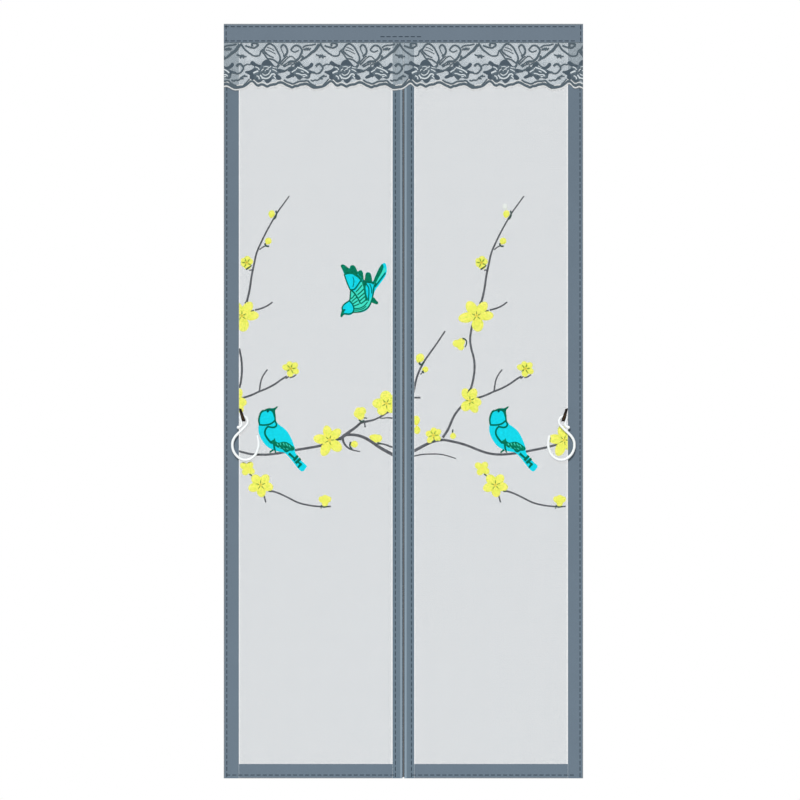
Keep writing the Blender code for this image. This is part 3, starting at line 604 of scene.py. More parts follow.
FRINGE_THREAD = Thread("fringe_thread", from_screen(236, 241, 243), 0.7, "lace_net", pitch=0.0006)
SEWING_THREAD = Thread("sewing_thread", from_screen(40, 53, 64), 0.6, "grey_ribbon", pitch=0.0005, gloss=0.05)
BRANCH_THREAD = Thread(
    "branch_thread", from_screen(96, 99, 104), 0.6, "branch_grey", turn=40.0, pitch=0.0026, contrast=0.85, gloss=0.06,
    mottle=(120.0, 1.9),
)
CALYX_THREAD = Thread("calyx_thread", from_screen(60, 84, 76), 0.6, "branch_grey", turn=20.0)
PETAL_THREAD = PetalThread(
    "petal_thread", from_screen(252, 255, 132), 0.5, "blossom_yellow", pitch=0.001, contrast=0.12,
    foot_colour=from_screen(254, 240, 104), middle_colour=from_screen(236, 246, 92),
)
PALE_PETAL_THREAD = PetalThread(
    "pale_petal_thread", from_screen(236, 240, 238), 0.5, "blossom_yellow", pitch=0.001, contrast=0.1,
    foot_colour=from_screen(226, 236, 214), middle_colour=from_screen(232, 238, 232), spot_share=0.1,
)
VEIN_THREAD = Thread("vein_thread", from_screen(116, 158, 66), 0.5, "blossom_yellow", pitch=0.0006)
KNOT_THREAD = Thread("knot_thread", from_screen(250, 222, 84), 0.5, "blossom_yellow", pitch=0.0006)
BIRD_THREAD = Thread(
    "bird_thread", from_screen(14, 216, 234), 0.5, "bird_blue", turn=50.0, pitch=0.0018, contrast=0.3, gloss=0.05,
    mottle=(150.0, 0.45),
)
AQUA_THREAD = Thread(
    "aqua_thread", from_screen(66, 226, 200), 0.5, "bird_blue", turn=-40.0, pitch=0.0018, contrast=0.3, gloss=0.05,
    mottle=(150.0, 0.22),
)
WING_THREAD = Thread(
    "wing_thread", from_screen(4, 122, 92), 0.5, "wing_green", turn=-55.0, pitch=0.0020, contrast=0.6, gloss=0.04,
    mottle=(150.0, 1.9),
)
LINE_THREAD = Thread("line_thread", from_screen(0, 112, 88), 0.5, "wing_green", turn=25.0, pitch=0.0008, gloss=0.04)
EYE_THREAD = Thread("eye_thread", from_screen(0, 70, 62), 0.5, "wing_green", pitch=0.0007, gloss=0.04)
HOOK_COAT = Moulded("hook_coat", from_screen(243, 247, 248), 0.28, "hook_white", gloss=0.5, coat=0.3)
MAGNET_RUBBER = Moulded("magnet_rubber", from_screen(34, 40, 46), 0.8, "magnet_black", gloss=0.1, grain=900.0)
LOOP_RIBBON = Ribbon("loop_ribbon", from_screen(24, 19, 16), 0.85, "loop_black", pitch=0.0007)
# The brown strip along the black loop's tail is a painted sheen.
LOOP_SHEEN_STRIP = Ribbon("loop_painted_sheen", from_screen(60, 46, 30), 0.8, "loop_black", pitch=0.0006)
LOOP_TAPE = Pile("loop_tape", from_screen(92, 101, 108), 0.9, "tape_grey", rows=700.0)
HOOK_TAPE = Pile("hook_tape", from_screen(84, 93, 100), 0.75, "tape_grey", rows=450.0)


# Modelling


def deselect() -> None:
    """Clears the selection, so that the next operator acts on the new piece alone."""
    if bpy.context.object and bpy.context.object.mode != "OBJECT":
        bpy.ops.object.mode_set(mode="OBJECT")
    bpy.ops.object.select_all(action="DESELECT")


def choose(objects: list[bpy.types.Object]) -> None:
    """Selects these objects alone, the first one active."""
    deselect()
    for obj in objects:
        obj.select_set(True)
    bpy.context.view_layer.objects.active = objects[0]


def settle(obj: bpy.types.Object) -> None:
    """Applies an object's place, turn and scale to its mesh."""
    choose([obj])
    bpy.ops.object.transform_apply(location=True, rotation=True, scale=True)


def apply_modifiers(obj: bpy.types.Object) -> None:
    """Applies all modifiers of an object, in order."""
    choose([obj])
    for modifier in list(obj.modifiers):
        bpy.ops.object.modifier_apply(modifier=modifier.name)


def joined(objects: list[bpy.types.Object]) -> bpy.types.Object:
    """Joins objects into the first one."""
    choose(objects)
    if len(objects) > 1:
        bpy.ops.object.join()
    return bpy.context.view_layer.objects.active


def copied(obj: bpy.types.Object, shift: tuple[float, float, float]) -> bpy.types.Object:
    """Copies an object with its own mesh and moves the copy's mesh."""
    choose([obj])
    bpy.ops.object.duplicate(linked=False)
    copy = bpy.context.view_layer.objects.active
    copy.location = Vector(shift)
    settle(copy)
    return copy


def cut(obj: bpy.types.Object, place: tuple[float, ...], normal: tuple[float, ...], closed: bool) -> None:
    """Cuts off what of a mesh lies on one side of a plane.

    Args:
        obj: The piece.
        place: A point on the plane.
        normal: The direction of the side that is cut off.
        closed: True to close the mesh along the cut.
    """
    choose([obj])
    bpy.ops.object.mode_set(mode="EDIT")
    bpy.ops.mesh.select_all(action="SELECT")
    bpy.ops.mesh.bisect(plane_co=place, plane_no=normal, use_fill=closed, clear_outer=True)
    bpy.ops.object.mode_set(mode="OBJECT")


def trimmed(obj: bpy.types.Object, across: float, top: float | None = None) -> bpy.types.Object:
    """Cuts off what of a mesh lies further from the middle than across, or above top."""
    if top is not None:
        cut(obj, (0.0, 0.0, top), (0.0, 0.0, 1.0), True)
    for side in (-1, 1):
        cut(obj, (side * across, 0.0, 0.0), (side, 0.0, 0.0), False)
    return obj


def windowed(obj: bpy.types.Object, side: int, margin: float = 0.0006) -> bpy.types.Object | None:
    """Trims a piece to the open net of a leaf, and gives None where nothing is left.

    Args:
        obj: The piece.
        side: -1 for the left leaf and 1 for the right.
        margin: How far inside the net's edges it ends.

    Returns:
        The trimmed piece, or None.
    """
    for edge, outward in ((SLEEVE_OUTER, -1), (SIDE_INNER, 1)):
        cut(obj, (side * (edge - outward * margin), 0.0, 0.0), (side * outward, 0.0, 0.0), True)
    if obj.data.polygons:
        return obj
    bpy.data.objects.remove(obj, do_unlink=True)
    return None


def cord_curve(name: str, radius: float, roundness: int, detail: int) -> bpy.types.Curve:
    """Starts a curve with a round section and closed ends."""
    curve = bpy.data.curves.new(name, "CURVE")
    curve.dimensions = "3D"
    curve.bevel_depth = radius
    curve.bevel_resolution = roundness
    curve.resolution_u = detail
    curve.use_fill_caps = True
    return curve


def led_through(
    curve: bpy.types.Curve, places: list[tuple[float, ...]], closed: bool, handles: str = "AUTO"
) -> bpy.types.Spline:
    """Leads a new run of a curve through places.

    Args:
        curve: The curve.
        places: The places, in order.
        closed: True for a run that ends where it starts.
        handles: AUTO for a round run and VECTOR for a straight one.

    Returns:
        The new run.
    """
    spline = curve.splines.new("BEZIER")
    spline.bezier_points.add(len(places) - 1)
    spline.use_cyclic_u = closed
    for point, place in zip(spline.bezier_points, places):
        point.co = place
        point.handle_left_type = point.handle_right_type = handles
    return spline


def meshed(curve: bpy.types.Curve) -> bpy.types.Object:
    """Turns a new curve into a mesh object."""
    obj = bpy.data.objects.new(curve.name, curve)
    bpy.context.scene.collection.objects.link(obj)
    choose([obj])
    bpy.ops.object.convert(target="MESH")
    return bpy.context.view_layer.objects.active


def finished(obj: bpy.types.Object, name: str, finish: Finish, smooth: float = 40.0) -> bpy.types.Object:
    """Names a piece, gives it its finish and shading, and makes it ride on the curtain.

    Args:
        obj: The modelled piece.
        name: Its name.
        finish: Its finish.
        smooth: The angle in degrees up to which its faces shade as one.

    Returns:
        The piece.
    """
    obj.name = name
    obj.data.name = name
    obj.data.materials.clear()
    obj.data.materials.append(finish.build())
    choose([obj])
    bpy.ops.object.shade_smooth_by_angle(angle=math.radians(smooth))
    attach(obj, "root")
    LOG.info("%s: %d faces", name, len(obj.data.polygons))
    return obj


def dressed(node: str, finish: Finish) -> None:
    """Gives a CAD node a finish."""
    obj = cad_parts[node]
    material = finish.build()
    for slot in obj.material_slots:
        slot.material = material
    LOG.info("%s: %s", node, finish.name)


@dataclass(frozen=True)
class Stroke:
    """A run of thread through points, as wide as width at its start and end_width at its end."""

    width: float
    points: tuple[Point, ...]
    end_width: float | None = None
    closed: bool = False


THREAD_FLATNESS = 0.28
EDGE_ROUNDING = 0.3


def thread_run(
    name: str,
    strokes: tuple[Stroke, ...],
    grid: PhotoGrid,
    depth: float,
    height: float,
    detail: int = 3,
    weight: float = 1.0,
) -> bpy.types.Object:
    """Models runs of thread as flattened cords on a flat ground.

    Args:
        name: The name of the object.
        strokes: The runs, in the steps of the grid.
        grid: The grid that the runs are drawn on.
        depth: The depth (y) of their middle.
        height: Twice how far they may reach behind that depth, in metres.
        detail: Parts between two points of a run.
        weight: How many times their drawn width they are.

    Returns:
        The mesh object.
    """
    curve = cord_curve(name, grid.step / 2, 1, detail)
    for stroke in strokes:
        places = [(x, 0.0, z) for x, z in (grid.place(*point) for point in stroke.points)]
        spline = led_through(curve, places, stroke.closed)
        end = stroke.width if stroke.end_width is None else stroke.end_width
        for index, point in enumerate(spline.bezier_points):
            width = stroke.width + (end - stroke.width) * index / max(1, len(stroke.points) - 1)
            point.radius = width * weight
    obj = meshed(curve)
    for vertex in obj.data.vertices:
        vertex.co.y = min(height / 2, vertex.co.y * THREAD_FLATNESS)
    obj.location = (0.0, depth, 0.0)
    settle(obj)
    return obj


def filled_shape(
    name: str,
    outlines: tuple[tuple[Point, ...], ...],
    grid: PhotoGrid,
    depth: float,
    height: float,
    handles: str = "AUTO",
) -> bpy.types.Object:
    """Models flat stitched areas with rounded edges from their outlines.

    Args:
        name: The name of the object.
        outlines: Each area's outline, in the steps of the grid.
        grid: The grid that the outlines are drawn on.
        depth: The depth (y) of their middle.
        height: How thick they are, in metres; 0 leaves a single surface.
        handles: AUTO for round outlines and VECTOR for straight ones.

    Returns:
        The mesh object.
    """
    curve = bpy.data.curves.new(name, "CURVE")
    curve.dimensions = "2D"
    curve.fill_mode = "BOTH"
    curve.resolution_u = 3
    rounding = height * EDGE_ROUNDING
    curve.extrude = max(0.0, height / 2 - rounding)
    curve.bevel_depth = rounding
    curve.bevel_resolution = 1
    curve.offset = -rounding
    for outline in outlines:
        led_through(curve, [(*grid.place(*point), 0.0) for point in outline], True, handles)
    obj = meshed(curve)
    obj.rotation_euler = (math.radians(90), 0.0, 0.0)
    obj.location = (0.0, depth, 0.0)
    settle(obj)
    return obj


# Ribbons, magnets and tapes


@dataclass
class RibbonWork:
    """The header band, the bindings, the centre sleeves, the magnets and the tapes."""

    def dress(self) -> None:
        """Gives each ribbon, magnet and tape its finish."""
        dressed("header_band", HEADER_RIBBON)
        for place, _ in SIDES:
            dressed(f"{place}_side_binding", SIDE_RIBBON)
            dressed(f"{place}_foot_binding", FOOT_RIBBON)
            dressed(f"{place}_sleeve_front", SLEEVE_RIBBON)
            dressed(f"{place}_sleeve_back", SLEEVE_RIBBON)
            dressed(f"{place}_magnet_strip", MAGNET_RUBBER)
        for place in ("header", "left", "right"):
            dressed(f"{place}_loop_tape", LOOP_TAPE)
            dressed(f"{place}_adhesive_tape", HOOK_TAPE)


@dataclass
class NetLeaves:
    """The two leaves of net: flat behind the embroidery, with soft waves towards the foot."""

    columns: int = 30
    rows: int = 130
    wave_height: float = 0.00108
    wide_wave: tuple[float, float] = (31.0, 9.0)
    cross_wave: tuple[float, float] = (17.0, 21.0)
    cross_share: float = 0.6
    wave_start: float = -1.38
    wave_full: float = -1.75
    edge_margin: float = 0.020

    def build(self) -> None:
        for place, side in SIDES:
            self.leaf(place, side)

    def leaf(self, place: str, side: int) -> None:
        """Models one leaf as a single surface.

        Args:
            place: The leaf's name.
            side: -1 for the left leaf and 1 for the right one.
        """
        low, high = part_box(f"{place}_net")
        width, length = high[0] - low[0], high[2] - low[2]
        deselect()
        bpy.ops.mesh.primitive_grid_add(
            x_subdivisions=self.columns, y_subdivisions=self.rows, size=1.0,
            location=((low[0] + high[0]) / 2, Layer.NET.value, (low[2] + high[2]) / 2),
            rotation=(math.radians(90), 0.0, 0.0),
        )
        obj = bpy.context.view_layer.objects.active
        obj.scale = (width, length, 1.0)
        settle(obj)
        for vertex in obj.data.vertices:
            vertex.co.y += self.wave(side, vertex.co.x, vertex.co.z)
        finished(obj, f"{place}_net_leaf", NET, 180.0)
        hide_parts(f"{place}_net")

    def wave(self, side: int, x: float, z: float) -> float:
        """Gives how far the net stands out of its plane at a place.

        Args:
            side: -1 for the left leaf and 1 for the right one.
            x: The place sideways.
            z: The place upwards.

        Returns:
            The distance in metres.
        """
        across = abs(x)
        from_edge = min(SIDE_INNER - across, across - SLEEVE_OUTER, z - FOOT_BINDING_TOP)
        fade = max(0.0, min(1.0, from_edge / self.edge_margin))
        down = max(0.0, min(1.0, (self.wave_start - z) / (self.wave_start - self.wave_full)))
        swell = math.sin(across * self.wide_wave[0] + z * self.wide_wave[1] * side)
        cross = math.sin(across * self.cross_wave[0] - z * self.cross_wave[1] + side)
        return self.wave_height * (swell + self.cross_share * cross) * fade * down


# Lace


LACE_PEAK_COLUMN = 241.0
LACE_REPEAT_WIDTH = 0.2207
LACE_MIDDLE_PEAK = -0.052 * LACE_REPEAT_WIDTH
LACE_STROKES = (
    Stroke(1.3, ((241, 43.5), (242, 45), (245, 49.5), (248, 52), (251, 54.2), (253, 55.7)), 1.1),
    Stroke(1.0, ((253, 55.7), (256, 56.2), (259.5, 55.5), (260.3, 54.3), (261, 51.5), (262, 50.5), (265, 50))),
    Stroke(2.2, ((319.5, 44.5), (317, 48), (314.5, 51), (311.5, 53), (309, 55.3), (306.5, 57.3),
                 (304.5, 58.3), (302, 60), (300.5, 61)), 1.0),
    Stroke(0.9, ((300.5, 61), (302.5, 58.5), (302.5, 56), (304, 57.5))),
    Stroke(1.1, ((245.5, 45.7), (249, 47), (252, 47.8), (254.5, 48), (257, 46.5), (258.3, 45),
                 (257.5, 44), (255.5, 43.3), (253, 43.5), (252.2, 44.8), (252.8, 46.5)), 1.5),
    Stroke(1.2, ((262, 50.5), (264.3, 49), (266, 46.5), (268, 44.5), (270, 44), (272.5, 44.8), (275, 47),
                 (277, 50), (278.5, 53), (280, 56), (280.5, 59), (280, 61), (278.5, 63.5))),
    Stroke(1.1, ((262, 50.5), (263, 52.5), (265.5, 55.5), (267.5, 58.5), (270.5, 59), (274, 60),
                 (276, 61.5), (278.5, 63.5))),
    Stroke(1.3, ((264, 51), (266.5, 53.5), (269, 55.5), (272, 57), (274, 57.8)), 0.8),
    Stroke(0.6, ((266, 50), (270, 51), (273, 52.5), (276, 54))),
    Stroke(0.6, ((267.5, 47.5), (271, 48.5), (274.5, 50.8))),
    Stroke(1.1, ((278.5, 63.5), (279.3, 65), (278, 67), (276, 68.3), (273.5, 68.7)), 0.7),
    Stroke(1.1, ((281, 47.5), (282, 46), (283.5, 45), (285, 45.5), (286.5, 47.5), (287.5, 50),
                 (287.3, 53), (286, 55), (284.5, 56), (283.5, 56.5)), 1.6),
    Stroke(0.7, ((281, 47.5), (282, 50.5), (283.4, 53.2), (284.5, 56))),
    Stroke(1.1, ((291, 50), (292.5, 48), (294.5, 46), (296.5, 45.5), (299, 46.2), (301, 48), (302.3, 50.5),
                 (302, 52.5), (301, 54.5), (300, 57), (298.5, 59), (296.5, 60.5), (295, 61.5), (292, 61.5),
                 (290, 62), (288, 63.3)), 1.7),
    Stroke(0.9, ((291, 50.3), (293, 51.5), (295, 52.2), (297, 51.5), (299, 50.5))),
    Stroke(1.1, ((280, 64), (283, 60), (286, 57.3), (288, 56.5)), 0.6),
    Stroke(1.1, ((281, 65), (285, 61), (288, 58), (290.5, 56.5)), 0.6),
    Stroke(1.1, ((283, 66), (286, 64), (290, 61.5)), 0.6),
    Stroke(1.1, ((284, 67), (288, 65), (291, 64), (292, 63.5)), 0.6),
    Stroke(0.8, ((289, 56.5), (292, 56.5), (294, 58), (295.5, 59.5))),
    Stroke(1.0, ((303, 48), (305, 46.3), (308, 45.5), (312, 45.2), (316, 44.2))),
    Stroke(1.3, ((303.8, 50.0), (306.2, 48.6)), 0.9),
    Stroke(1.3, ((305.4, 50.4), (307.6, 47.9)), 0.9),
    Stroke(1.3, ((307.2, 50.4), (309.0, 47.7)), 0.9),
    Stroke(1.3, ((308.9, 50.2), (311.2, 48.3)), 0.9),
    Stroke(0.9, ((236.9, 54.6), (238.8, 55.5), (242.5, 56.1)), 1.2),
    Stroke(1.2, ((240.0, 57.9), (242.4, 56.2), (243.8, 54.7)), 0.9),
    Stroke(1.2, ((242.5, 56.1), (246.9, 56.7)), 0.8),
    Stroke(0.9, ((241.2, 54.7), (242.6, 56.2), (244.4, 58.2)), 1.2),
    Stroke(1.6, ((236.8, 66.5), (238, 65), (240.3, 64), (242.3, 65.5), (243.8, 68), (242.3, 71),
                 (240.3, 73), (238, 73.8), (235, 73), (232, 72)), 0.9),
    Stroke(0.9, ((243.5, 66.5), (246, 65), (248, 64.3), (250, 64.8), (251, 64))),
    Stroke(1.0, ((263.5, 72), (264, 70.5), (265.8, 70), (267.5, 71), (267.3, 73), (265.3, 74), (263, 73.4),
                 (261.5, 71.5), (262, 69), (264.5, 67.6), (267.8, 68))),
    Stroke(0.9, ((259.5, 72.5), (260, 75.3), (263, 77.2), (266.8, 77), (269.6, 75), (270.6, 72))),
    Stroke(0.9, ((255, 76), (255, 79), (257, 81), (259, 82), (262, 80), (260, 76)), closed=True),
    Stroke(0.9, ((294, 68), (291.5, 66.3), (294, 64), (297, 63), (299, 62), (301, 64), (302.5, 66), (302, 69))),
    Stroke(1.0, ((281, 71), (285, 70.8), (288, 69.5), (290, 68), (294, 68)), 1.5),
    Stroke(1.0, ((296, 69), (297, 70.5), (300, 72), (303, 73), (306, 72.5), (309, 75))),
    Stroke(0.9, ((293, 77), (297, 75), (299.5, 79.5), (302, 77.5), (306, 77), (309, 78), (310, 75))),
    Stroke(1.0, ((311, 80), (313, 81), (315, 80.2), (318, 80.3), (320, 78.5), (323, 76.7), (327, 76.5))),
    Stroke(1.6, ((320, 78.5), (322, 77), (324.7, 75)), 0.8),
    Stroke(1.6, ((320.5, 78.4), (323.2, 79)), 0.8),
    Stroke(1.4, ((240, 87), (243, 86.8), (246, 85.5), (249, 83), (250.5, 81.8), (252.5, 81.3), (255, 83),
                 (257, 85.2), (259, 85.6), (262, 84.5), (265, 85.5), (267.5, 86.7), (270, 85.5), (273, 84.7),
                 (276, 84.3), (278.5, 83), (281, 82.5), (284, 83.5), (287, 85.3), (290, 86.5), (292.5, 87.5),
                 (295, 86.3), (298, 86), (300, 85), (303, 84.5), (306, 84), (309, 85), (312, 86.8),
                 (315, 87.6), (319.2, 87.2)), 1.7),
    Stroke(2.3, ((313, 87.2), (316, 87.5), (319.5, 87.3), (323, 86.6)), 1.4),
    Stroke(1.2, ((284, 80), (287, 82), (290, 83), (293, 84), (296, 83), (298, 82), (300, 81.5), (304, 81.3),
                 (308, 81), (310, 83), (313, 85), (316, 86))),
    Stroke(0.9, ((243.8, 85.5), (246.8, 82.5), (249.8, 79))),
)
LACE_WORK_AREAS = (
    ((250.5, 63.5), (252.5, 61), (254.5, 62), (257, 64), (261.5, 65), (262.5, 62.5), (265, 60.3), (268, 59.5),
     (270.5, 61), (273.5, 64.5), (276, 66.5), (278.5, 64.5), (279.5, 66.5), (278, 68.5), (280, 69), (284, 70),
     (286, 71.2), (282, 72.8), (279.5, 73.5), (278, 74), (280.5, 76), (281.5, 79.3), (277, 79.6), (273, 79),
     (271.5, 81), (269.5, 82.8), (267.5, 83.2), (265.5, 82), (264.2, 80), (262.5, 80.8), (260, 82), (258, 82),
     (256, 80), (254, 79.3), (250.3, 79), (250.5, 76), (247.5, 73.8), (245.3, 72), (249, 70.8), (253, 69),
     (254.5, 67), (253.8, 65.5)),
    ((286, 78), (288, 75.5), (290, 74.5), (289.8, 72), (287.5, 70.8), (288, 69.5), (290.5, 67.5), (293, 68),
     (294.5, 66), (295, 64), (297.5, 62.5), (299, 61), (301.5, 63.5), (303.5, 66), (306, 66.8), (309, 65.5),
     (311.5, 62.8), (313.5, 64), (312.5, 67), (309.5, 69), (309, 70), (312, 71), (316, 73), (312, 73.6),
     (309.7, 74), (309.5, 77), (308, 79), (305.5, 78.5), (302, 78.2), (299.8, 80), (297.5, 78.5), (295.5, 76.3),
     (293.5, 76), (291, 77.8)),
)
LACE_FILLS = (
    ((262, 64.5), (263.5, 62), (265.5, 60.4), (268, 59.9), (270.5, 61.4), (273, 64.2), (274.5, 67), (271, 65.6),
     (266.5, 65)),
    ((250.8, 63.6), (252.6, 61.4), (254.8, 62.6), (258, 64.4), (261, 65.6), (258.6, 67.6), (255, 66.4)),
    ((245.8, 72), (249, 71), (253, 69.2), (255.6, 68.4), (256.4, 70.2), (253.6, 72.6), (252, 75), (248, 73.6)),
    ((250.6, 75.2), (253.6, 74.6), (255.6, 77), (255.2, 79.2), (250.8, 79)),
    ((264.6, 79.8), (266, 82), (267.6, 83), (270, 81.6), (271.8, 78), (271.6, 76), (268.6, 79.2)),
    ((272.8, 72.4), (275, 73.4), (277.6, 75), (280.2, 76.6), (281.2, 79.2), (277, 79.4), (276.4, 77), (273, 74.6)),
    ((277.6, 69.6), (280, 69.2), (283, 70), (286, 71), (282, 72.4), (278.6, 71.8)),
    ((256.6, 78), (258.6, 80), (261.6, 80.2), (260, 82), (257.8, 81.8)),
    ((295, 66.6), (295.4, 64.4), (297.4, 63), (299, 61.6), (300.4, 63.2), (299.4, 66), (297, 67.6)),
    ((303, 66.2), (306, 67.2), (309, 65.8), (311.8, 63), (313.2, 64.4), (312.2, 66.8), (309, 68.6), (305, 69.2)),
    ((286.6, 77.6), (288.6, 75.4), (290.6, 74.6), (291.6, 71.6), (293.6, 73.6), (294.6, 75.8), (291, 77.4)),
    ((296.4, 75.6), (299, 75.8), (301.6, 76.8), (299.8, 79.8), (297.6, 78.2)),
    ((309, 70.4), (312, 71.2), (315.6, 73), (311.6, 73.4), (309.8, 75.6)),
    ((287.6, 69.8), (290.4, 67.8), (293, 68.2), (292.4, 70.4), (289.6, 71)),
)
LACE_LIGHTS = (
    Stroke(1.5, ((253.6, 73.2), (256, 72), (258.6, 71.2))),
    Stroke(0.9, ((255.6, 66.9), (258.4, 68.1), (259.6, 70))),
    Stroke(0.8, ((261.3, 72), (262.3, 70.2), (264, 69))),
    Stroke(0.9, ((265.2, 71), (267, 69.5), (269, 68.8))),
    Stroke(0.9, ((262.8, 73.5), (265, 75.3), (268, 74.5), (270, 72.5), (270.8, 70))),
    Stroke(1.3, ((260.5, 75), (262, 77), (265, 78.5), (268, 78.3), (270.5, 76.5), (271.8, 74.6), (274, 74),
                 (275.6, 75.6))),
    Stroke(1.0, ((256.8, 75.8), (259, 77), (259.6, 79.4))),
    Stroke(0.9, ((261.6, 77.2), (262.4, 79))),
    Stroke(0.9, ((272.5, 69.4), (275, 70.4), (277, 71.8))),
    Stroke(0.8, ((273, 67), (275, 68), (277.5, 68))),
    Stroke(1.0, ((273.6, 76), (275, 77.4), (276, 78.8))),
    Stroke(0.8, ((263.6, 67.4), (266.6, 66.6), (269.8, 67.6), (271.4, 66.2))),
    Stroke(1.0, ((292, 72.4), (294, 71), (296, 69.8), (297, 68.2))),
    Stroke(1.2, ((297.4, 67.4), (300, 68.2), (303.5, 69.5), (307, 71.5), (308.8, 73))),
    Stroke(1.0, ((296.2, 73.6), (299, 73.8), (302, 75), (305.5, 74.8), (307.4, 76.4))),
    Stroke(0.7, ((300.6, 66), (303.6, 68))),
    Stroke(0.8, ((301, 71.2), (304.6, 72.8))),
    Stroke(1.0, ((303, 77), (305.8, 76.6))),
)
LACE_EDGE = LACE_STROKES[-4].points


def beside(points: tuple[Point, ...], rows: float) -> tuple[Point, ...]:
    """Moves points down by some rows."""
    return tuple((column, row + rows) for column, row in points)


@dataclass
class LaceValance:
    """The lace under the header: a fine ground with a scalloped edge, cords and a fringe."""

    first_repeat: int = -3
    last_repeat: int = 2
    top: float = -0.0105
    trim: float = 0.4996
    cord_top: float = -0.0267
    work_depth: float = -0.0084
    cord_depth: float = -0.0088
    light_depth: float = -0.0090
    work_height: float = 0.0005
    cord_height: float = 0.0007
    cord_weight: float = 1.7
    light_weight: float = 1.25
    fill_lift: float = 0.0004
    rims: tuple[tuple[float, float], ...] = ((1.5, 2.2), (1.1, -2.1))
    ground_margin: float = 0.9
    fringe_start: float = 1.0
    fringe_length: float = 3.2
    fringe_pitch: float = 0.62
    fringe_width: float = 0.30
    fringe_height: float = 0.0004

    def build(self) -> None:
        """Models the ground, the worked areas, the cords and the fringe."""
        ground = self.ground()
        work = filled_shape("work", LACE_WORK_AREAS, LACE_GRID, self.work_depth, self.work_height)
        fills = filled_shape("fills", LACE_FILLS, LACE_GRID, self.work_depth - self.fill_lift, self.work_height)
        cords = self.run("cords", LACE_STROKES, self.cord_depth, self.cord_weight)
        lights = self.run("lights", LACE_LIGHTS, self.light_depth, self.light_weight)
        rims = tuple(Stroke(width, beside(LACE_EDGE, rows)) for width, rows in self.rims)
        rim = self.run("rim", rims, self.work_depth, 1.0)
        fringe = thread_run(
            "fringe", self.fringe_strokes(), LACE_GRID, Layer.LACE_GROUND.value, self.fringe_height, detail=1
        )
        pieces = [
            finished(self.repeated(piece, self.cord_top), name, finish)
            for piece, name, finish in (
                (work, "lace_worked_areas", LACE_WORK),
                (fills, "lace_leaves", LACE_FILL),
                (cords, "lace_cords", LACE_CORD),
                (lights, "lace_light_cords", LACE_LIGHT),
                (rim, "lace_rim", FRINGE_THREAD),
                (fringe, "lace_fringe", FRINGE_THREAD),
            )
        ]
        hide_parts("lace_cordwork")

    def run(self, name: str, strokes: tuple[Stroke, ...], depth: float, weight: float) -> bpy.types.Object:
        """Models one repeat of some cords."""
        return thread_run(name, strokes, LACE_GRID, depth, self.cord_height, weight=weight)

    def area(self, ground: bpy.types.Object) -> float:
        """Gives the area of the cut."""
        return sum(polygon.area for polygon in ground.data.polygons)

    def repeated(self, obj: bpy.types.Object, top: float | None = None) -> bpy.types.Object:
        """Copies one repeat across the curtain and trims the row to its width and top."""
        start = LACE_GRID.place(LACE_PEAK_COLUMN, 0.0)[0]
        copies = [
            copied(obj, (LACE_MIDDLE_PEAK + repeat * LACE_REPEAT_WIDTH - start, 0.0, 0.0))
            for repeat in range(self.first_repeat, self.last_repeat + 1)
        ]
        choose([obj])
        bpy.ops.object.delete()
        return trimmed(joined(copies), self.trim, top)

    def ground(self) -> bpy.types.Object:
        """Models the ground as a single surface down to its scalloped edge."""
        edge = beside(LACE_EDGE, self.ground_margin)
        top_row = LACE_GRID.foot_row - (self.top - LACE_GRID.foot) / LACE_GRID.step
        outline = (*edge, (LACE_EDGE[-1][0], top_row), (LACE_EDGE[0][0], top_row))
        piece = filled_shape("ground", (outline,), LACE_GRID, Layer.LACE_GROUND.value, 0.0, "VECTOR")
        obj = finished(self.repeated(piece), "lace_ground_sheet", LACE_NET, 180.0)
        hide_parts("lace_ground")
        return obj

    def fringe_strokes(self) -> tuple[Stroke, ...]:
        """Gives the short threads that hang under one repeat of the edge."""
        strokes, column = [], LACE_EDGE[0][0]
        for (left, left_row), (right, right_row) in zip(LACE_EDGE, LACE_EDGE[1:]):
            while column < right:
                row = left_row + (right_row - left_row) * (column - left) / (right - left)
                ends = (column, row + self.fringe_start), (column, row + self.fringe_length)
                strokes.append(Stroke(self.fringe_width, ends))
                column += self.fringe_pitch
        return tuple(strokes)


# Stitches


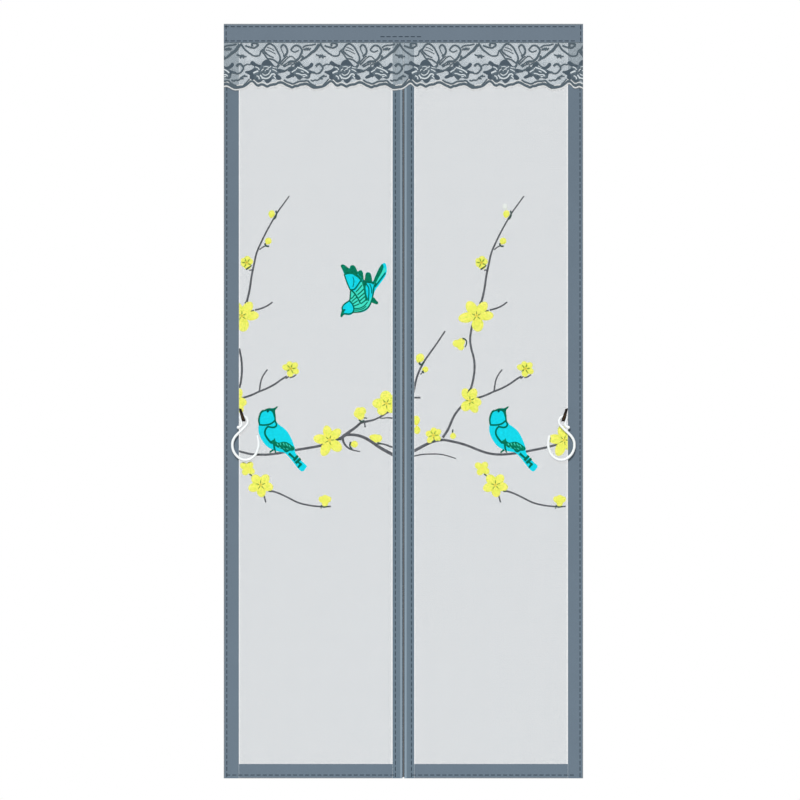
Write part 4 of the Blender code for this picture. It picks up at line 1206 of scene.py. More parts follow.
@dataclass
class Stitching:
    """Rows of sewing thread along the ribbons, on the front and on the back."""

    length: float = 0.0115
    pitch: float = 0.0169
    width: float = 0.0019
    height: float = 0.0007
    lift_share: float = 0.2
    bevel: float = 0.00025
    side_place: float = 0.4915
    sleeve_place: float = 0.0224
    header_rows: tuple[float, ...] = (0.0184, -0.0211)
    short_row: tuple[float, float, int] = (-0.0583, -0.0093, 7)
    end_place: float = 0.4935
    end_start: float = -0.0170
    end_count: int = 3
    foot_row: float = -2.0643
    foot_margin: float = 0.0125
    foot_count: int = 28
    upright_margin: float = 0.0095
    header_margin: float = 0.008
    header_spare: float = 0.010

    def build(self) -> None:
        """Models all rows."""
        upright = int((HEADER_FOOT - FOOT) / self.pitch)
        along = int((2 * HALF_WIDTH - self.header_spare) / self.pitch)
        faces = (
            ("front", -1, Layer.BINDING_FRONT, Layer.HEADER_FRONT),
            ("back", 1, Layer.BINDING_BACK, Layer.BINDING_BACK),
        )
        for face, outward, binding, header in faces:
            for place, side in SIDES:
                for name, x in (("side", self.side_place), ("sleeve", self.sleeve_place)):
                    start = (side * x, binding.value, FOOT + self.upright_margin)
                    self.row(f"{place}_{name}_stitches_{face}", start, True, upright, outward)
                start = (side * self.end_place, header.value, self.end_start)
                self.row(f"{place}_header_end_stitches_{face}", start, True, self.end_count, outward)
            for index, z in enumerate(self.header_rows):
                start = (-HALF_WIDTH + self.header_margin, header.value, z)
                self.row(f"header_stitches_{face}_{index + 1}", start, False, along, outward)
            for place, edge in (("left", -HALF_WIDTH), ("right", 0.0)):
                start = (edge + self.foot_margin, binding.value, self.foot_row)
                self.row(f"{place}_foot_stitches_{face}", start, False, self.foot_count, outward)
        x, z, count = self.short_row
        self.row("header_mend_stitches", (x, Layer.HEADER_FRONT.value, z), False, count, -1)

    def row(self, name: str, start: tuple[float, float, float], upright: bool, count: int, outward: int) -> None:
        """Models one row from one stitch.

        Args:
            name: The name of the row.
            start: The middle of the first stitch on the ribbon's face.
            upright: True for a row that goes up and False for one that goes right.
            count: How many stitches it has.
            outward: -1 on the front of the curtain and 1 on its back.
        """
        x, y, z = start
        deselect()
        bpy.ops.mesh.primitive_cube_add(size=1.0, location=(x, y + outward * self.height * self.lift_share, z))
        obj = bpy.context.view_layer.objects.active
        long, wide = self.length, self.width
        obj.scale = (wide, self.height, long) if upright else (long, self.height, wide)
        settle(obj)
        bevel = obj.modifiers.new("bevel", "BEVEL")
        bevel.width = self.bevel
        bevel.segments = 1
        array = obj.modifiers.new("array", "ARRAY")
        array.count = count
        array.use_relative_offset = False
        array.use_constant_offset = True
        array.constant_offset_displace = (0.0, 0.0, self.pitch) if upright else (self.pitch, 0.0, 0.0)
        apply_modifiers(obj)
        finished(obj, name, SEWING_THREAD, 80.0)


# Embroidery


@dataclass(frozen=True)
class Petal:
    """An oval of satin stitch: its middle, length and width in photo steps, and where it points."""

    column: float
    row: float
    length: float
    width: float
    angle: float


OPEN_PETALS = 5
# The blossoms as the right leaf's part of the photo shows them. Each leaf shows what lies in its net.
BLOSSOMS = {
    "large_blossom": (
        Petal(470.6, 307.6, 13.5, 10.5, 118), Petal(483.0, 307.5, 12.5, 9.5, 58),
        Petal(486.8, 316.0, 13.5, 9.4, 4), Petal(477.3, 325.4, 13.0, 11.5, -80),
        Petal(465.4, 318.7, 14.5, 10.0, 183),
    ),
    "middle_blossom": (
        Petal(465.6, 394.2, 12.0, 9.0, 112), Petal(472.6, 394.0, 12.0, 8.6, 66),
        Petal(476.0, 402.0, 11.0, 8.8, -12), Petal(474.4, 408.2, 10.0, 8.4, -62),
        Petal(465.8, 405.4, 12.0, 9.6, -122),
    ),
    "twig_blossom": (
        Petal(520.6, 367.4, 8.0, 6.2, 165), Petal(524.0, 365.0, 7.6, 6.2, 100), Petal(529.0, 365.8, 8.0, 6.4, 40),
        Petal(529.8, 371.0, 8.0, 6.4, -25), Petal(524.8, 373.2, 8.0, 6.6, -95),
    ),
    "open_blossom": (
        Petal(562.0, 431.2, 12.0, 8.8, 104), Petal(571.0, 433.6, 11.6, 8.8, 48),
        Petal(571.0, 446.4, 12.4, 10.2, -42), Petal(559.6, 450.2, 12.4, 9.6, -114),
        Petal(554.2, 438.6, 12.8, 9.4, 176),
    ),
    "low_blossom": (
        Petal(490.6, 479.6, 11.4, 9.2, 128), Petal(499.6, 479.2, 10.8, 8.8, 55), Petal(502.6, 486.6, 10.8, 8.8, -15),
        Petal(496.0, 491.8, 10.8, 8.8, -85), Petal(488.0, 487.4, 10.8, 8.8, -160),
    ),
    "low_bud": (
        Petal(478.6, 466.0, 8.6, 7.2, 145), Petal(484.2, 465.6, 8.6, 7.2, 50),
        Petal(485.6, 470.8, 8.4, 7.2, -40), Petal(480.2, 471.4, 8.4, 7.2, -120),
    ),
    "end_bud": (
        Petal(556.9, 499.6, 8.2, 6.8, 150), Petal(559.6, 498.4, 7.4, 7.0, 90), Petal(562.0, 499.6, 8.2, 6.8, 30),
        Petal(559.5, 502.8, 7.6, 6.8, -90),
    ),
    "stem_bud": (
        Petal(481.8, 259.8, 7.6, 6.6, 78), Petal(479.0, 264.0, 7.2, 6.6, 195), Petal(484.0, 261.8, 7.6, 6.4, 20),
        Petal(482.0, 266.0, 7.6, 7.2, -75), Petal(478.6, 261.0, 6.8, 5.6, 150),
    ),
    "side_bud": (
        Petal(456.6, 343.6, 8.4, 7.8, 175), Petal(461.0, 342.2, 8.4, 8.0, 50), Petal(460.4, 346.4, 8.4, 7.4, -60),
    ),
    "inner_blossom": (
        Petal(433.5, 431.2, 7.8, 6.4, 85), Petal(437.6, 432.4, 7.8, 6.4, 35), Petal(437.4, 437.8, 7.4, 6.2, -35),
        Petal(429.8, 439.6, 7.4, 6.0, -125), Petal(429.2, 433.6, 7.4, 6.4, 165),
    ),
    "upper_blossom": (
        Petal(620.4, 396.8, 12.4, 11.2, 95), Petal(613.2, 403.6, 13.2, 9.8, 178), Petal(617.0, 409.4, 12.4, 9.8, -125),
        Petal(625.0, 408.4, 10.6, 9.4, -40), Petal(626.8, 399.6, 10.0, 9.6, 30),
    ),
    "upper_bud": (
        Petal(596.4, 411.4, 9.0, 8.6, 60), Petal(593.4, 411.4, 8.4, 7.8, 120), Petal(592.4, 413.8, 8.6, 8.4, 170),
        Petal(595.0, 415.6, 9.0, 8.6, -80),
    ),
}
BUDS = {
    "tip_bud": Petal(506.2, 214.4, 8.2, 6.8, 80),
    "fork_bud": Petal(502.8, 241.4, 7.4, 7.0, 60),
    "inner_twig_bud": Petal(419.8, 358.3, 10.0, 8.8, 60),
    "inner_twig_side_bud": Petal(425.2, 369.4, 6.4, 6.2, 0),
    "edge_bud": Petal(416.3, 420.6, 10.2, 7.6, 90),
    "edge_low_bud": Petal(417.0, 429.8, 8.6, 7.2, -90),
    "stalk_bud": Petal(453.0, 435.8, 6.6, 6.4, -90),
    "curl_bud": Petal(588.6, 444.2, 7.8, 7.2, 0),
    "branch_bud": Petal(609.6, 438.2, 12.4, 8.6, -18),
    "branch_bud_side": Petal(612.4, 438.6, 8.8, 8.2, 40),
}
PALE_BUD = Petal(505.0, 206.8, 6.2, 5.6, 100)
LOOSE_BLOSSOMS = ("twig_blossom", "low_bud", "stem_bud", "side_bud", "end_bud")
TWIG_STROKES = (
    Stroke(1.5, ((494, 250), (497, 247.6), (500, 246))),
    Stroke(1.5, ((484, 270.6), (488.6, 269.6))),
    Stroke(1.4, ((420.4, 374.6), (422.2, 372.6), (423.6, 370.8))),
    Stroke(2.1, ((413.4, 397.7), (420.4, 397.7))),
    Stroke(1.7, ((520.4, 378.8), (523.6, 375.6), (523.4, 373.4))),
    Stroke(2.0, ((524.2, 377.6), (527.6, 376.8), (530.8, 374.6)), 1.3),
)
# The wide branch and the end of the tall stem, which only the left leaf shows, as drawn there.
LEFT_STROKES = (
    Stroke(2.4, ((239.4, 348.4), (241.9, 363), (241, 382), (239.4, 388))),
    Stroke(2.4, ((238.4, 451.0), (246, 453.0), (252, 454.2), (262, 454.7), (275, 453.8), (285, 452.0), (296, 450.0),
                 (311, 447.5), (320, 445.8), (328, 443.2), (336, 440.2), (343, 437.0)), 3.2),
    Stroke(3.8, ((341.6, 438.0), (346, 434.4), (350, 431.4), (354, 428.6), (358, 425.4), (361.4, 422.0)), 2.6),
    Stroke(3.0, ((360, 423.0), (363, 422.2), (367, 421.4), (371, 420.6), (375, 419.4), (380, 417.0)), 2.0),
    Stroke(2.2, ((379.4, 417.4), (382, 415.8), (385, 413.6), (388, 411.8), (391, 410.6), (394, 409.6)), 3.8),
    Stroke(1.2, ((379, 418.0), (383, 418.2), (387, 417.8), (392.4, 418.2)), 1.8),
    Stroke(3.0, ((343.5, 435.4), (347, 434.9), (351, 434.7), (355, 435.0), (360, 436.0), (365, 438.0), (370, 440.8),
                 (375, 444.2), (380, 447.6), (385, 450.5), (390, 453.2), (394, 455.4)), 3.8),
    Stroke(1.6, ((376.6, 444.0), (381, 443.8), (386, 444.8), (390, 446.4), (393.4, 447.4)), 2.2),
    Stroke(3.0, ((342.6, 437.4), (343.2, 441), (345, 444.6), (348, 447.6), (351.6, 449.6), (356, 450.8),
                 (360.4, 451.5)), 1.2),
    Stroke(1.5, ((364.6, 422.6), (365.2, 427.4)), 2.0),
)
CALYX_STROKES = (
    Stroke(1.8, ((510.4, 210.8), (511, 214.6), (509.6, 218.4), (507.6, 219.6))),
    Stroke(2.0, ((499.4, 243.4), (500.6, 246), (503.6, 246.6))),
    Stroke(2.0, ((480.6, 269.8), (483, 268), (486.4, 265.6)), 1.2),
    Stroke(2.4, ((419, 362.6), (421, 364.8), (424, 362))),
    Stroke(1.5, ((422, 371), (424, 373.2))),
    Stroke(1.8, ((462.4, 338.4), (465, 339.4), (466.6, 342), (466, 345), (464.8, 347.4)), 1.2),
    Stroke(1.5, ((452.8, 429.4), (452.4, 432.6))),
    Stroke(1.6, ((431.4, 440.8), (434, 442.2))),
    Stroke(1.6, ((437.2, 440.4), (438.4, 441.2))),
    Stroke(1.9, ((503.2, 491), (505.6, 491.8)), 1.2),
    Stroke(1.7, ((484, 474), (486.6, 475.8)), 1.1),
    Stroke(1.8, ((556.2, 505), (555.4, 508.6)), 1.2),
    Stroke(1.4, ((557.4, 507.4), (562.4, 506.6))),
    Stroke(1.5, ((467, 393.8), (468.4, 391), (470.4, 388.2))),
    Stroke(1.4, ((479.4, 303.6), (481.2, 301.2))),
    Stroke(1.6, ((485.2, 311.6), (488.6, 310.4))),
    Stroke(1.9, ((593.4, 419.6), (595.8, 421.4), (599, 420.4))),
    Stroke(1.7, ((597.4, 417.8), (601.6, 418.2)), 1.2),
    Stroke(1.9, ((585.2, 441.8), (584.4, 446), (586.6, 449.2))),
    Stroke(1.6, ((611.8, 442.6), (616.2, 443.8))),
    Stroke(1.2, ((570.6, 439.4), (576, 440))),
    Stroke(1.1, ((471, 405.8), (473.2, 407.6), (476, 408.4)), 0.6),
)


@dataclass
class Sprays:
    """The blossoms, buds, calyxes and small twigs: padded satin stitch, cut at each net's edge."""

    petal_height: float = 0.0012
    petal_foot: float = 0.40
    petal_curve: float = 1.3
    petal_fullness: float = 1.08
    fleck_depth: float = -0.0077
    twig_depth: float = -0.0061
    calyx_depth: float = -0.0070
    fleck_start: float = 1.8
    fleck_end: float = 4.8
    fleck_widths: tuple[float, float] = (1.15, 0.6)
    thread_height: float = 0.0004
    petal_overlap: float = 0.0001
    knot_radius: float = 0.0016
    knot_flatness: float = 0.45
    knot_places: tuple[Point, ...] = ((-0.9, 0.3), (0.8, -0.5), (0.4, 0.9), (-0.4, -0.8))

    def build(self) -> None:
        """Models what each leaf shows."""
        for place, side in SIDES:
            shift = 0.0 if side > 0 else -LEAF_OFFSET
            for name, petals in {**BLOSSOMS, **{name: (bud,) for name, bud in BUDS.items()}}.items():
                loose = name in LOOSE_BLOSSOMS or name in BUDS
                depth = Layer.LOOSE_PETAL if loose else Layer.PETAL
                node = f"{place}_{name}"
                piece = windowed(self.blossom(petals, shift, depth.value), side)
                if piece:
                    finished(piece, f"{node}_petals", PETAL_THREAD)
                    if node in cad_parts:
                        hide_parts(node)
            if side > 0:
                bud = self.blossom((PALE_BUD,), shift, Layer.LOOSE_PETAL.value)
                finished(bud, f"{place}_pale_bud_petals", PALE_PETAL_THREAD)
            for name, strokes, depth, finish in (
                ("small_twigs", TWIG_STROKES, self.twig_depth, BRANCH_THREAD),
                ("calyxes", CALYX_STROKES, self.calyx_depth, CALYX_THREAD),
                ("petal_flecks", self.flecks(), self.fleck_depth, VEIN_THREAD),
            ):
                run = thread_run(name, strokes, LEAF_GRID, depth, self.thread_height)
                run.location = (shift, 0.0, 0.0)
                settle(run)
                finished(windowed(run, side), f"{place}_{name}", finish)
            knots = windowed(self.knots(shift), side)
            finished(knots, f"{place}_blossom_knots", KNOT_THREAD)

    def blossom(self, petals: tuple[Petal, ...], shift: float, depth: float) -> bpy.types.Object:
        """Models one blossom from its petals.

        Args:
            petals: Its petals.
            shift: How far it moves sideways from the photo's right leaf.
            depth: The depth (y) of its middle.

        Returns:
            The blossom.
        """
        parts = []
        for index, petal in enumerate(self.drawn_in(petals)):
            deselect()
            bpy.ops.mesh.primitive_uv_sphere_add(segments=14, ring_count=8, radius=0.5)
            obj = bpy.context.view_layer.objects.active
            for vertex in obj.data.vertices:
                vertex.co.x *= 1.0 - self.petal_foot * max(0.0, -vertex.co.z * 2) ** self.petal_curve
            step = LEAF_GRID.step
            full = self.petal_fullness if len(petals) == OPEN_PETALS else 1.0
            obj.scale = (petal.width * step * full, self.petal_height, petal.length * step)
            obj.rotation_euler = (0.0, math.radians(90 - petal.angle), 0.0)
            x, z = LEAF_GRID.place(petal.column, petal.row)
            obj.location = (x + shift, depth - self.petal_overlap * index, z)
            settle(obj)
            parts.append(obj)
        return joined(parts)

    def drawn_in(self, petals: tuple[Petal, ...]) -> tuple[Petal, ...]:
        """Lengthens the petals of an open blossom until their feet meet in its heart."""
        if len(petals) != OPEN_PETALS:
            return petals
        column, row = self.heart(petals)
        longer = []
        for petal in petals:
            tip_column, tip_row = self.along(petal, petal.length / 2)
            across, up = tip_column - column, row - tip_row
            longer.append(
                Petal(
                    (tip_column + column) / 2, (tip_row + row) / 2, math.hypot(across, up), petal.width,
                    math.degrees(math.atan2(up, across)),
                )
            )
        return tuple(longer)

    def open_blossoms(self) -> list[tuple[Petal, ...]]:
        """Gives the blossoms with all five petals."""
        return [petals for petals in BLOSSOMS.values() if len(petals) == OPEN_PETALS]

    def heart(self, petals: tuple[Petal, ...]) -> Point:
        """Gives the middle of a blossom, where its petals' feet meet."""
        feet = [self.along(petal, -0.5 * petal.length) for petal in petals]
        return sum(foot[0] for foot in feet) / len(feet), sum(foot[1] for foot in feet) / len(feet)

    def along(self, petal: Petal, steps: float) -> Point:
        """Gives the point some steps from a petal's middle towards its tip."""
        angle = math.radians(petal.angle)
        return petal.column + steps * math.cos(angle), petal.row - steps * math.sin(angle)

    def flecks(self) -> tuple[Stroke, ...]:
        """Gives the fine green stitches between the feet of the petals of the open blossoms."""
        strokes = []
        for petals in self.open_blossoms():
            column, row = self.heart(petals)
            angles = sorted(petal.angle % 360 for petal in self.drawn_in(petals))
            for first, last in zip(angles, [*angles[1:], angles[0] + 360]):
                fleck = Petal(column, row, 0.0, 0.0, (first + last) / 2)
                ends = self.along(fleck, self.fleck_start), self.along(fleck, self.fleck_end)
                strokes.append(Stroke(self.fleck_widths[0], ends, self.fleck_widths[1]))
        return tuple(strokes)

    def knots(self, shift: float) -> bpy.types.Object:
        """Models the small knots in the heart of each open blossom."""
        parts = []
        for petals in self.open_blossoms():
            column, row = self.heart(petals)
            for across, down in self.knot_places:
                x, z = LEAF_GRID.place(column + across, row + down)
                deselect()
                bpy.ops.mesh.primitive_uv_sphere_add(
                    segments=8, ring_count=6, radius=self.knot_radius, location=(x + shift, self.fleck_depth, z)
                )
                obj = bpy.context.view_layer.objects.active
                obj.scale = (1.0, self.knot_flatness, 1.0)
                settle(obj)
                parts.append(obj)
        return joined(parts)


PERCHED_LINES = (
    Stroke(1.5, ((259.5, 424.3), (259, 420), (260, 415), (261.5, 412), (264, 410.2)), 1.8),
    Stroke(1.4, ((274.2, 411), (274.6, 413.5), (275, 416), (275.2, 418.5), (275.4, 421)), 1.5),
    Stroke(1.5, ((275.2, 421), (276.2, 423), (276.6, 425), (275.2, 426.8), (273, 427.4), (270, 427), (267.5, 426.5))),
    Stroke(1.4, ((259.3, 424.7), (263, 425), (266, 424.9), (269, 424.4), (271.5, 423.4), (273.5, 421.9),
                 (275, 420.6))),
    Stroke(1.5, ((268.8, 426), (266.6, 428), (265.3, 430.5), (265, 433), (266, 436), (268, 439), (270, 441.5),
                 (272, 443.2)), 1.9),
    Stroke(1.8, ((274, 443), (274.2, 446), (274.6, 448.5), (275, 450)), 1.6),
    Stroke(1.7, ((273.6, 449.8), (271.6, 451), (269.8, 452.6)), 1.4),
    Stroke(1.6, ((275, 450), (275.8, 452.6)), 1.2),
    Stroke(1.3, ((282.6, 447), (284, 449.6), (286.2, 451.6), (288.4, 450.6))),
    Stroke(2.2, ((289, 453.4), (292, 456), (295, 458.6)), 1.6),
    Stroke(2.3, ((298, 455.6), (296, 457.8), (293.8, 460.4))),
    Stroke(2.3, ((300.6, 458.4), (298.4, 460.6), (295.6, 463))),
    Stroke(1.5, ((297.6, 461.6), (299.8, 463.2), (301.6, 464.2))),
    Stroke(2.1, ((301.6, 463.8), (299.6, 465.6), (298.2, 467.6)), 1.6),
)
PERCHED_CROWN = (
    ((264, 410.8), (266, 409), (269, 408.2), (272.4, 408.4), (275, 407.6), (277.9, 406.4), (277.2, 408.2),
     (275.6, 410), (275.4, 413), (275.5, 417), (274.2, 417), (273.2, 414), (271.6, 411.4), (268, 410.6)),
)
PERCHED_EYE = (Stroke(2.8, ((267.4, 410.8), (268.6, 411.8)), 2.2),)
# The perched bird's outlines and the flecks on its wing, traced at PERCHED_GRID's scale.
PERCHED_BODY = (
    ((240, 56), (200, 62), (160, 70), (125, 88), (98, 114), (78, 150), (64, 200), (58, 250), (50, 290), (47, 340),
     (52, 390), (66, 430), (86, 475), (112, 515), (146, 558), (190, 594), (240, 620), (300, 640), (350, 650),
     (388, 656), (420, 676), (450, 706), (482, 742), (520, 790), (558, 838), (588, 876), (612, 900), (640, 914),
     (668, 902), (690, 874), (704, 846), (690, 822), (650, 788), (612, 746), (580, 705), (556, 670), (542, 640),
     (544, 605), (534, 570), (520, 530), (500, 480), (475, 428), (446, 382), (410, 342), (370, 310), (330, 282),
     (302, 252), (286, 215), (276, 170), (268, 120), (262, 80)),
)
PERCHED_WING = (
    ((238, 492), (256, 482), (268, 464), (276, 488), (288, 510), (330, 524), (360, 516), (392, 512), (430, 518),
     (470, 540), (505, 566), (532, 584), (540, 604), (530, 624), (500, 634), (470, 634), (452, 646), (424, 640),
     (392, 622), (350, 604), (310, 590), (280, 572), (250, 552), (226, 532), (214, 514)),
)
PERCHED_FLECKS = (
    Stroke(13, ((300, 536), (318, 562)), 9),
    Stroke(13, ((342, 530), (354, 560)), 9),
    Stroke(13, ((384, 526), (400, 562)), 9),
    Stroke(13, ((424, 536), (446, 572)), 9),
    Stroke(13, ((462, 556), (486, 592)), 9),
    Stroke(11, ((328, 582), (350, 598)), 8),
    Stroke(11, ((378, 588), (404, 610)), 8),
    Stroke(11, ((430, 600), (452, 618)), 8),
)
# The flying bird's outlines and lines, traced at FLYING_GRID's scale.
FLYING_BODY = (
    ((96, 740), (84, 700), (84, 670), (90, 640), (104, 605), (132, 577), (165, 552), (184, 532), (190, 505),
     (192, 470), (195, 435), (197, 410), (180, 380), (160, 330), (140, 275), (124, 230), (105, 180), (86, 135),
     (74, 105), (80, 88), (100, 82), (122, 90), (150, 112), (182, 132), (192, 104), (215, 93), (245, 99), (265, 125),
     (282, 166), (292, 172), (306, 160), (330, 156), (350, 175), (358, 205), (362, 250), (370, 284), (378, 280),
     (382, 238), (386, 205), (400, 187), (420, 181), (445, 191), (460, 220), (467, 262), (472, 298), (484, 292),
     (497, 260), (522, 205), (547, 150), (572, 105), (592, 80), (612, 68), (628, 64), (642, 74), (652, 102),
     (657, 140), (654, 185), (640, 230), (610, 276), (577, 320), (546, 362), (516, 402), (498, 440), (490, 478),
     (478, 520), (462, 572), (446, 610), (420, 646), (385, 673), (340, 690), (290, 694), (250, 692), (232, 700),
     (212, 716), (180, 726), (140, 722), (114, 720)),
)
FLYING_AQUA = (
    ((197, 418), (225, 428), (262, 412), (290, 380), (318, 330), (340, 305), (366, 340), (384, 400), (392, 440),
     (398, 500), (414, 540), (440, 530), (458, 500), (472, 520), (458, 566), (440, 606), (416, 638), (382, 664),
     (338, 682), (290, 686), (244, 682), (244, 650), (236, 610), (214, 572), (188, 546), (194, 505), (196, 460)),
    ((636, 130), (640, 160), (612, 200), (580, 244), (550, 288), (524, 322), (506, 348), (498, 330), (520, 296),
     (548, 250), (580, 200), (612, 152)),
)
FLYING_FILLS = (
    ((72, 100), (82, 88), (100, 83), (122, 91), (152, 113), (188, 140), (216, 160), (250, 188), (290, 214),
     (320, 244), (345, 270), (358, 298), (332, 302), (312, 274), (282, 246), (252, 226), (220, 207), (182, 205),
     (152, 208), (132, 216), (112, 182), (90, 140)),
    ((188, 134), (196, 106), (215, 94), (244, 100), (264, 126), (282, 166), (292, 204), (252, 190), (216, 162)),
    ((290, 186), (302, 164), (330, 157), (349, 178), (357, 208), (361, 255), (357, 292), (332, 250), (302, 218)),
    ((378, 286), (382, 240), (387, 207), (401, 189), (420, 183), (444, 193), (459, 224), (466, 262), (471, 300),
     (458, 316), (440, 312), (420, 306), (400, 302)),
    ((596, 82), (572, 108), (547, 155), (522, 210), (498, 265), (486, 300), (496, 326), (518, 312), (542, 270),
     (568, 225), (592, 180), (610, 132), (612, 96)),
    ((346, 296), (374, 292), (402, 308), (388, 360), (392, 420), (402, 480), (414, 534), (396, 544), (378, 484),
     (368, 422), (358, 362), (344, 322)),
    ((464, 516), (490, 500), (517, 530), (548, 574), (534, 589), (502, 581), (476, 572), (460, 562)),
    ((96, 648), (118, 664), (112, 700), (98, 742), (80, 752), (70, 742), (72, 714), (82, 680)),
)
FLYING_LINES = (
    Stroke(17, ((90, 655), (96, 615), (126, 580), (165, 553), (186, 534), (192, 500), (196, 450), (197, 418))),
    Stroke(16, ((198, 415), (176, 370), (151, 310), (131, 250), (116, 205))),
    Stroke(18, ((186, 546), (214, 575), (234, 615), (240, 650), (230, 684), (205, 704), (165, 712), (130, 708),
                (104, 716))),
    Stroke(18, ((234, 690), (300, 686), (350, 671), (400, 646), (438, 602), (463, 545), (479, 484), (485, 430),
                (492, 380), (503, 345), (520, 316))),
    Stroke(20, ((198, 404), (238, 438), (268, 478), (298, 528), (324, 580)), 17),
    Stroke(17, ((200, 404), (240, 400), (270, 372), (300, 328), (326, 290))),
    Stroke(10, ((226, 240), (240, 290), (236, 330), (226, 368))),
    Stroke(15, ((264, 432), (300, 396), (344, 344))),
    Stroke(15, ((284, 470), (328, 432), (366, 392))),
    Stroke(15, ((300, 507), (346, 468), (380, 440))),
    Stroke(15, ((314, 545), (358, 508), (390, 482))),
    Stroke(15, ((330, 580), (372, 548), (402, 522))),
    Stroke(14, ((200, 522), (230, 495), (248, 468))),
    Stroke(14, ((214, 552), (248, 522), (274, 502))),
    Stroke(14, ((230, 582), (266, 557), (290, 542))),
    Stroke(14, ((236, 612), (276, 596), (308, 582))),
    Stroke(14, ((240, 642), (300, 640), (348, 622), (388, 590), (412, 558))),
    Stroke(12, ((250, 662), (300, 660), (352, 644), (396, 612))),
    Stroke(14, ((394, 332), (422, 368), (430, 430), (426, 490), (422, 548))),
    Stroke(12, ((440, 330), (462, 390), (464, 450))),
    Stroke(16, ((640, 188), (606, 234), (566, 288), (532, 332), (506, 366))),
    Stroke(30, ((352, 292), (392, 300), (434, 306), (474, 314), (492, 330)), 24),
)
FLYING_EYE = (Stroke(22, ((112, 662), (132, 656)), 16),)


@dataclass
class Birds:
    """The stitched birds: blue bodies, green wings and the lines of thread on them."""

    line_depth: float = -0.0077
    fleck_depth: float = -0.0079
    line_height: float = 0.0007
    perched_layers: tuple[float, float] = (-0.00695, -0.0076)
    flying_layers: tuple[float, float] = (-0.00605, -0.0065)
    height: float = 0.0007
    weight: float = 1.25
    flying_weight: float = 1.15
    patch_lift: float = 0.0003
    line_lift: float = 0.0004
    right_shift: float = LEAF_OFFSET - 25 * DRAWING_STEP

    def build(self) -> None:
        """Models the birds."""
        self.perched()
        self.flying()

    def perched(self) -> None:
        """Models the perched bird and copies it to the right leaf."""
        low, high = self.perched_layers
        parts = {
            "body_thread": (filled_shape("body", PERCHED_BODY, PERCHED_GRID, low, self.height), BIRD_THREAD),
            "wing_thread": (filled_shape("wing", PERCHED_WING, PERCHED_GRID, high, self.height), WING_THREAD),
            "crown": (filled_shape("crown", PERCHED_CROWN, LEAF_GRID, self.line_depth, self.line_height), LINE_THREAD),
            "lines": (
                thread_run("lines", PERCHED_LINES, LEAF_GRID, self.line_depth, self.line_height, weight=self.weight),
                LINE_THREAD,
            ),
            "eye": (thread_run("eye", PERCHED_EYE, LEAF_GRID, self.line_depth, self.line_height), EYE_THREAD),
            "wing_flecks": (
                thread_run("flecks", PERCHED_FLECKS, PERCHED_GRID, self.fleck_depth, self.line_height), AQUA_THREAD,
            ),
        }
        for name, (left, finish) in parts.items():
            right = copied(left, (self.right_shift, 0.0, 0.0))
            for place, piece in (("left", left), ("right", right)):
                finished(piece, f"{place}_perched_bird_{name}", finish)
                if name.endswith("_thread"):
                    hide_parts(f"{place}_perched_bird_{name.removesuffix('_thread')}")

    def flying(self) -> None:
        """Models the bird in flight."""
        low, high = self.flying_layers
        body = filled_shape("body", FLYING_BODY, FLYING_GRID, low, self.height)
        finished(body, "flying_bird_body_thread", BIRD_THREAD)
        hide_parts("flying_bird_body")
        aqua = filled_shape("aqua", FLYING_AQUA, FLYING_GRID, high, self.height)
        finished(aqua, "flying_bird_aqua", AQUA_THREAD)
        wing = filled_shape("wing", FLYING_FILLS, FLYING_GRID, high - self.patch_lift, self.height)
        finished(wing, "flying_bird_wing_thread", WING_THREAD)
        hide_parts("flying_bird_wing")
        lines = thread_run(
            "lines", FLYING_LINES, FLYING_GRID, high - self.line_lift, self.line_height, weight=self.flying_weight
        )
        finished(lines, "flying_bird_lines", LINE_THREAD)
        eye = thread_run("eye", FLYING_EYE, FLYING_GRID, high - self.line_lift, self.line_height)
        finished(eye, "flying_bird_eye", EYE_THREAD)


# The branches' middle lines as the right leaf's part of the photo shows them. Each leaf shows what lies in its net.
HIGH_BRANCH = (
    Stroke(1.5, ((523.8, 196.2), (517.5, 205), (512, 212.6), (506.2, 222.5), (500, 233.8), (495.2, 243.8),
                 (491.4, 252.6), (488.8, 263.8), (486.2, 276.2), (484.2, 290), (481.4, 302)), 2.6),
    Stroke(2.1, ((489.6, 310.2), (493, 309.4), (497.4, 308), (503, 305.2), (507, 302.2)), 1.7),
)
LOW_BRANCH = (
    Stroke(2.1, ((503.6, 490.6), (510, 492), (517.4, 495), (525, 498.8), (532.4, 502.4), (542.4, 505), (552.4, 506.3),
                 (560, 506.5), (565.4, 506.3)), 1.8),
    Stroke(2.0, ((498, 493.8), (499.4, 498.4), (500.4, 502.4)), 1.6),
)
SIDE_TWIG = (
    Stroke(2.4, ((474.6, 398.6), (480, 397.2), (486.2, 395), (493.8, 391.6), (502.4, 388), (510, 383.8),
                 (517.4, 378.6), (521.4, 376.4)), 2.1),
    Stroke(1.9, ((494, 391.2), (494.8, 385), (496.2, 379), (498.8, 374), (502, 369.6)), 1.6),
)
TALL_STEM = (
    Stroke(2.4, ((480, 305), (476.6, 313), (472.6, 324), (470.7, 333), (470.1, 341), (471.4, 349.4), (473.6, 357.6),
                 (474.5, 366.6), (473.4, 378), (471, 388), (467.6, 398)), 2.6),
    Stroke(2.4, ((463.4, 404.4), (459.4, 408.6), (456, 412.8), (452.6, 418.8), (450, 425), (447, 431.2),
                 (442.6, 437.6)), 3.0),
    Stroke(3.6, ((412, 452), (418, 448.8), (424, 445.6), (430, 442.7), (436.2, 440.7), (443.6, 439.8)), 3.0),
    Stroke(2.8, ((443.6, 439.8), (450, 441), (457.4, 442.6), (467.4, 445.6), (477.4, 449.6), (487.4, 453),
                 (497.4, 454.4), (510, 453.9), (522.4, 452.2), (532.4, 450.2), (542.4, 448.2), (550, 446.4),
                 (560, 443.6), (570, 441.4)), 2.6),
)
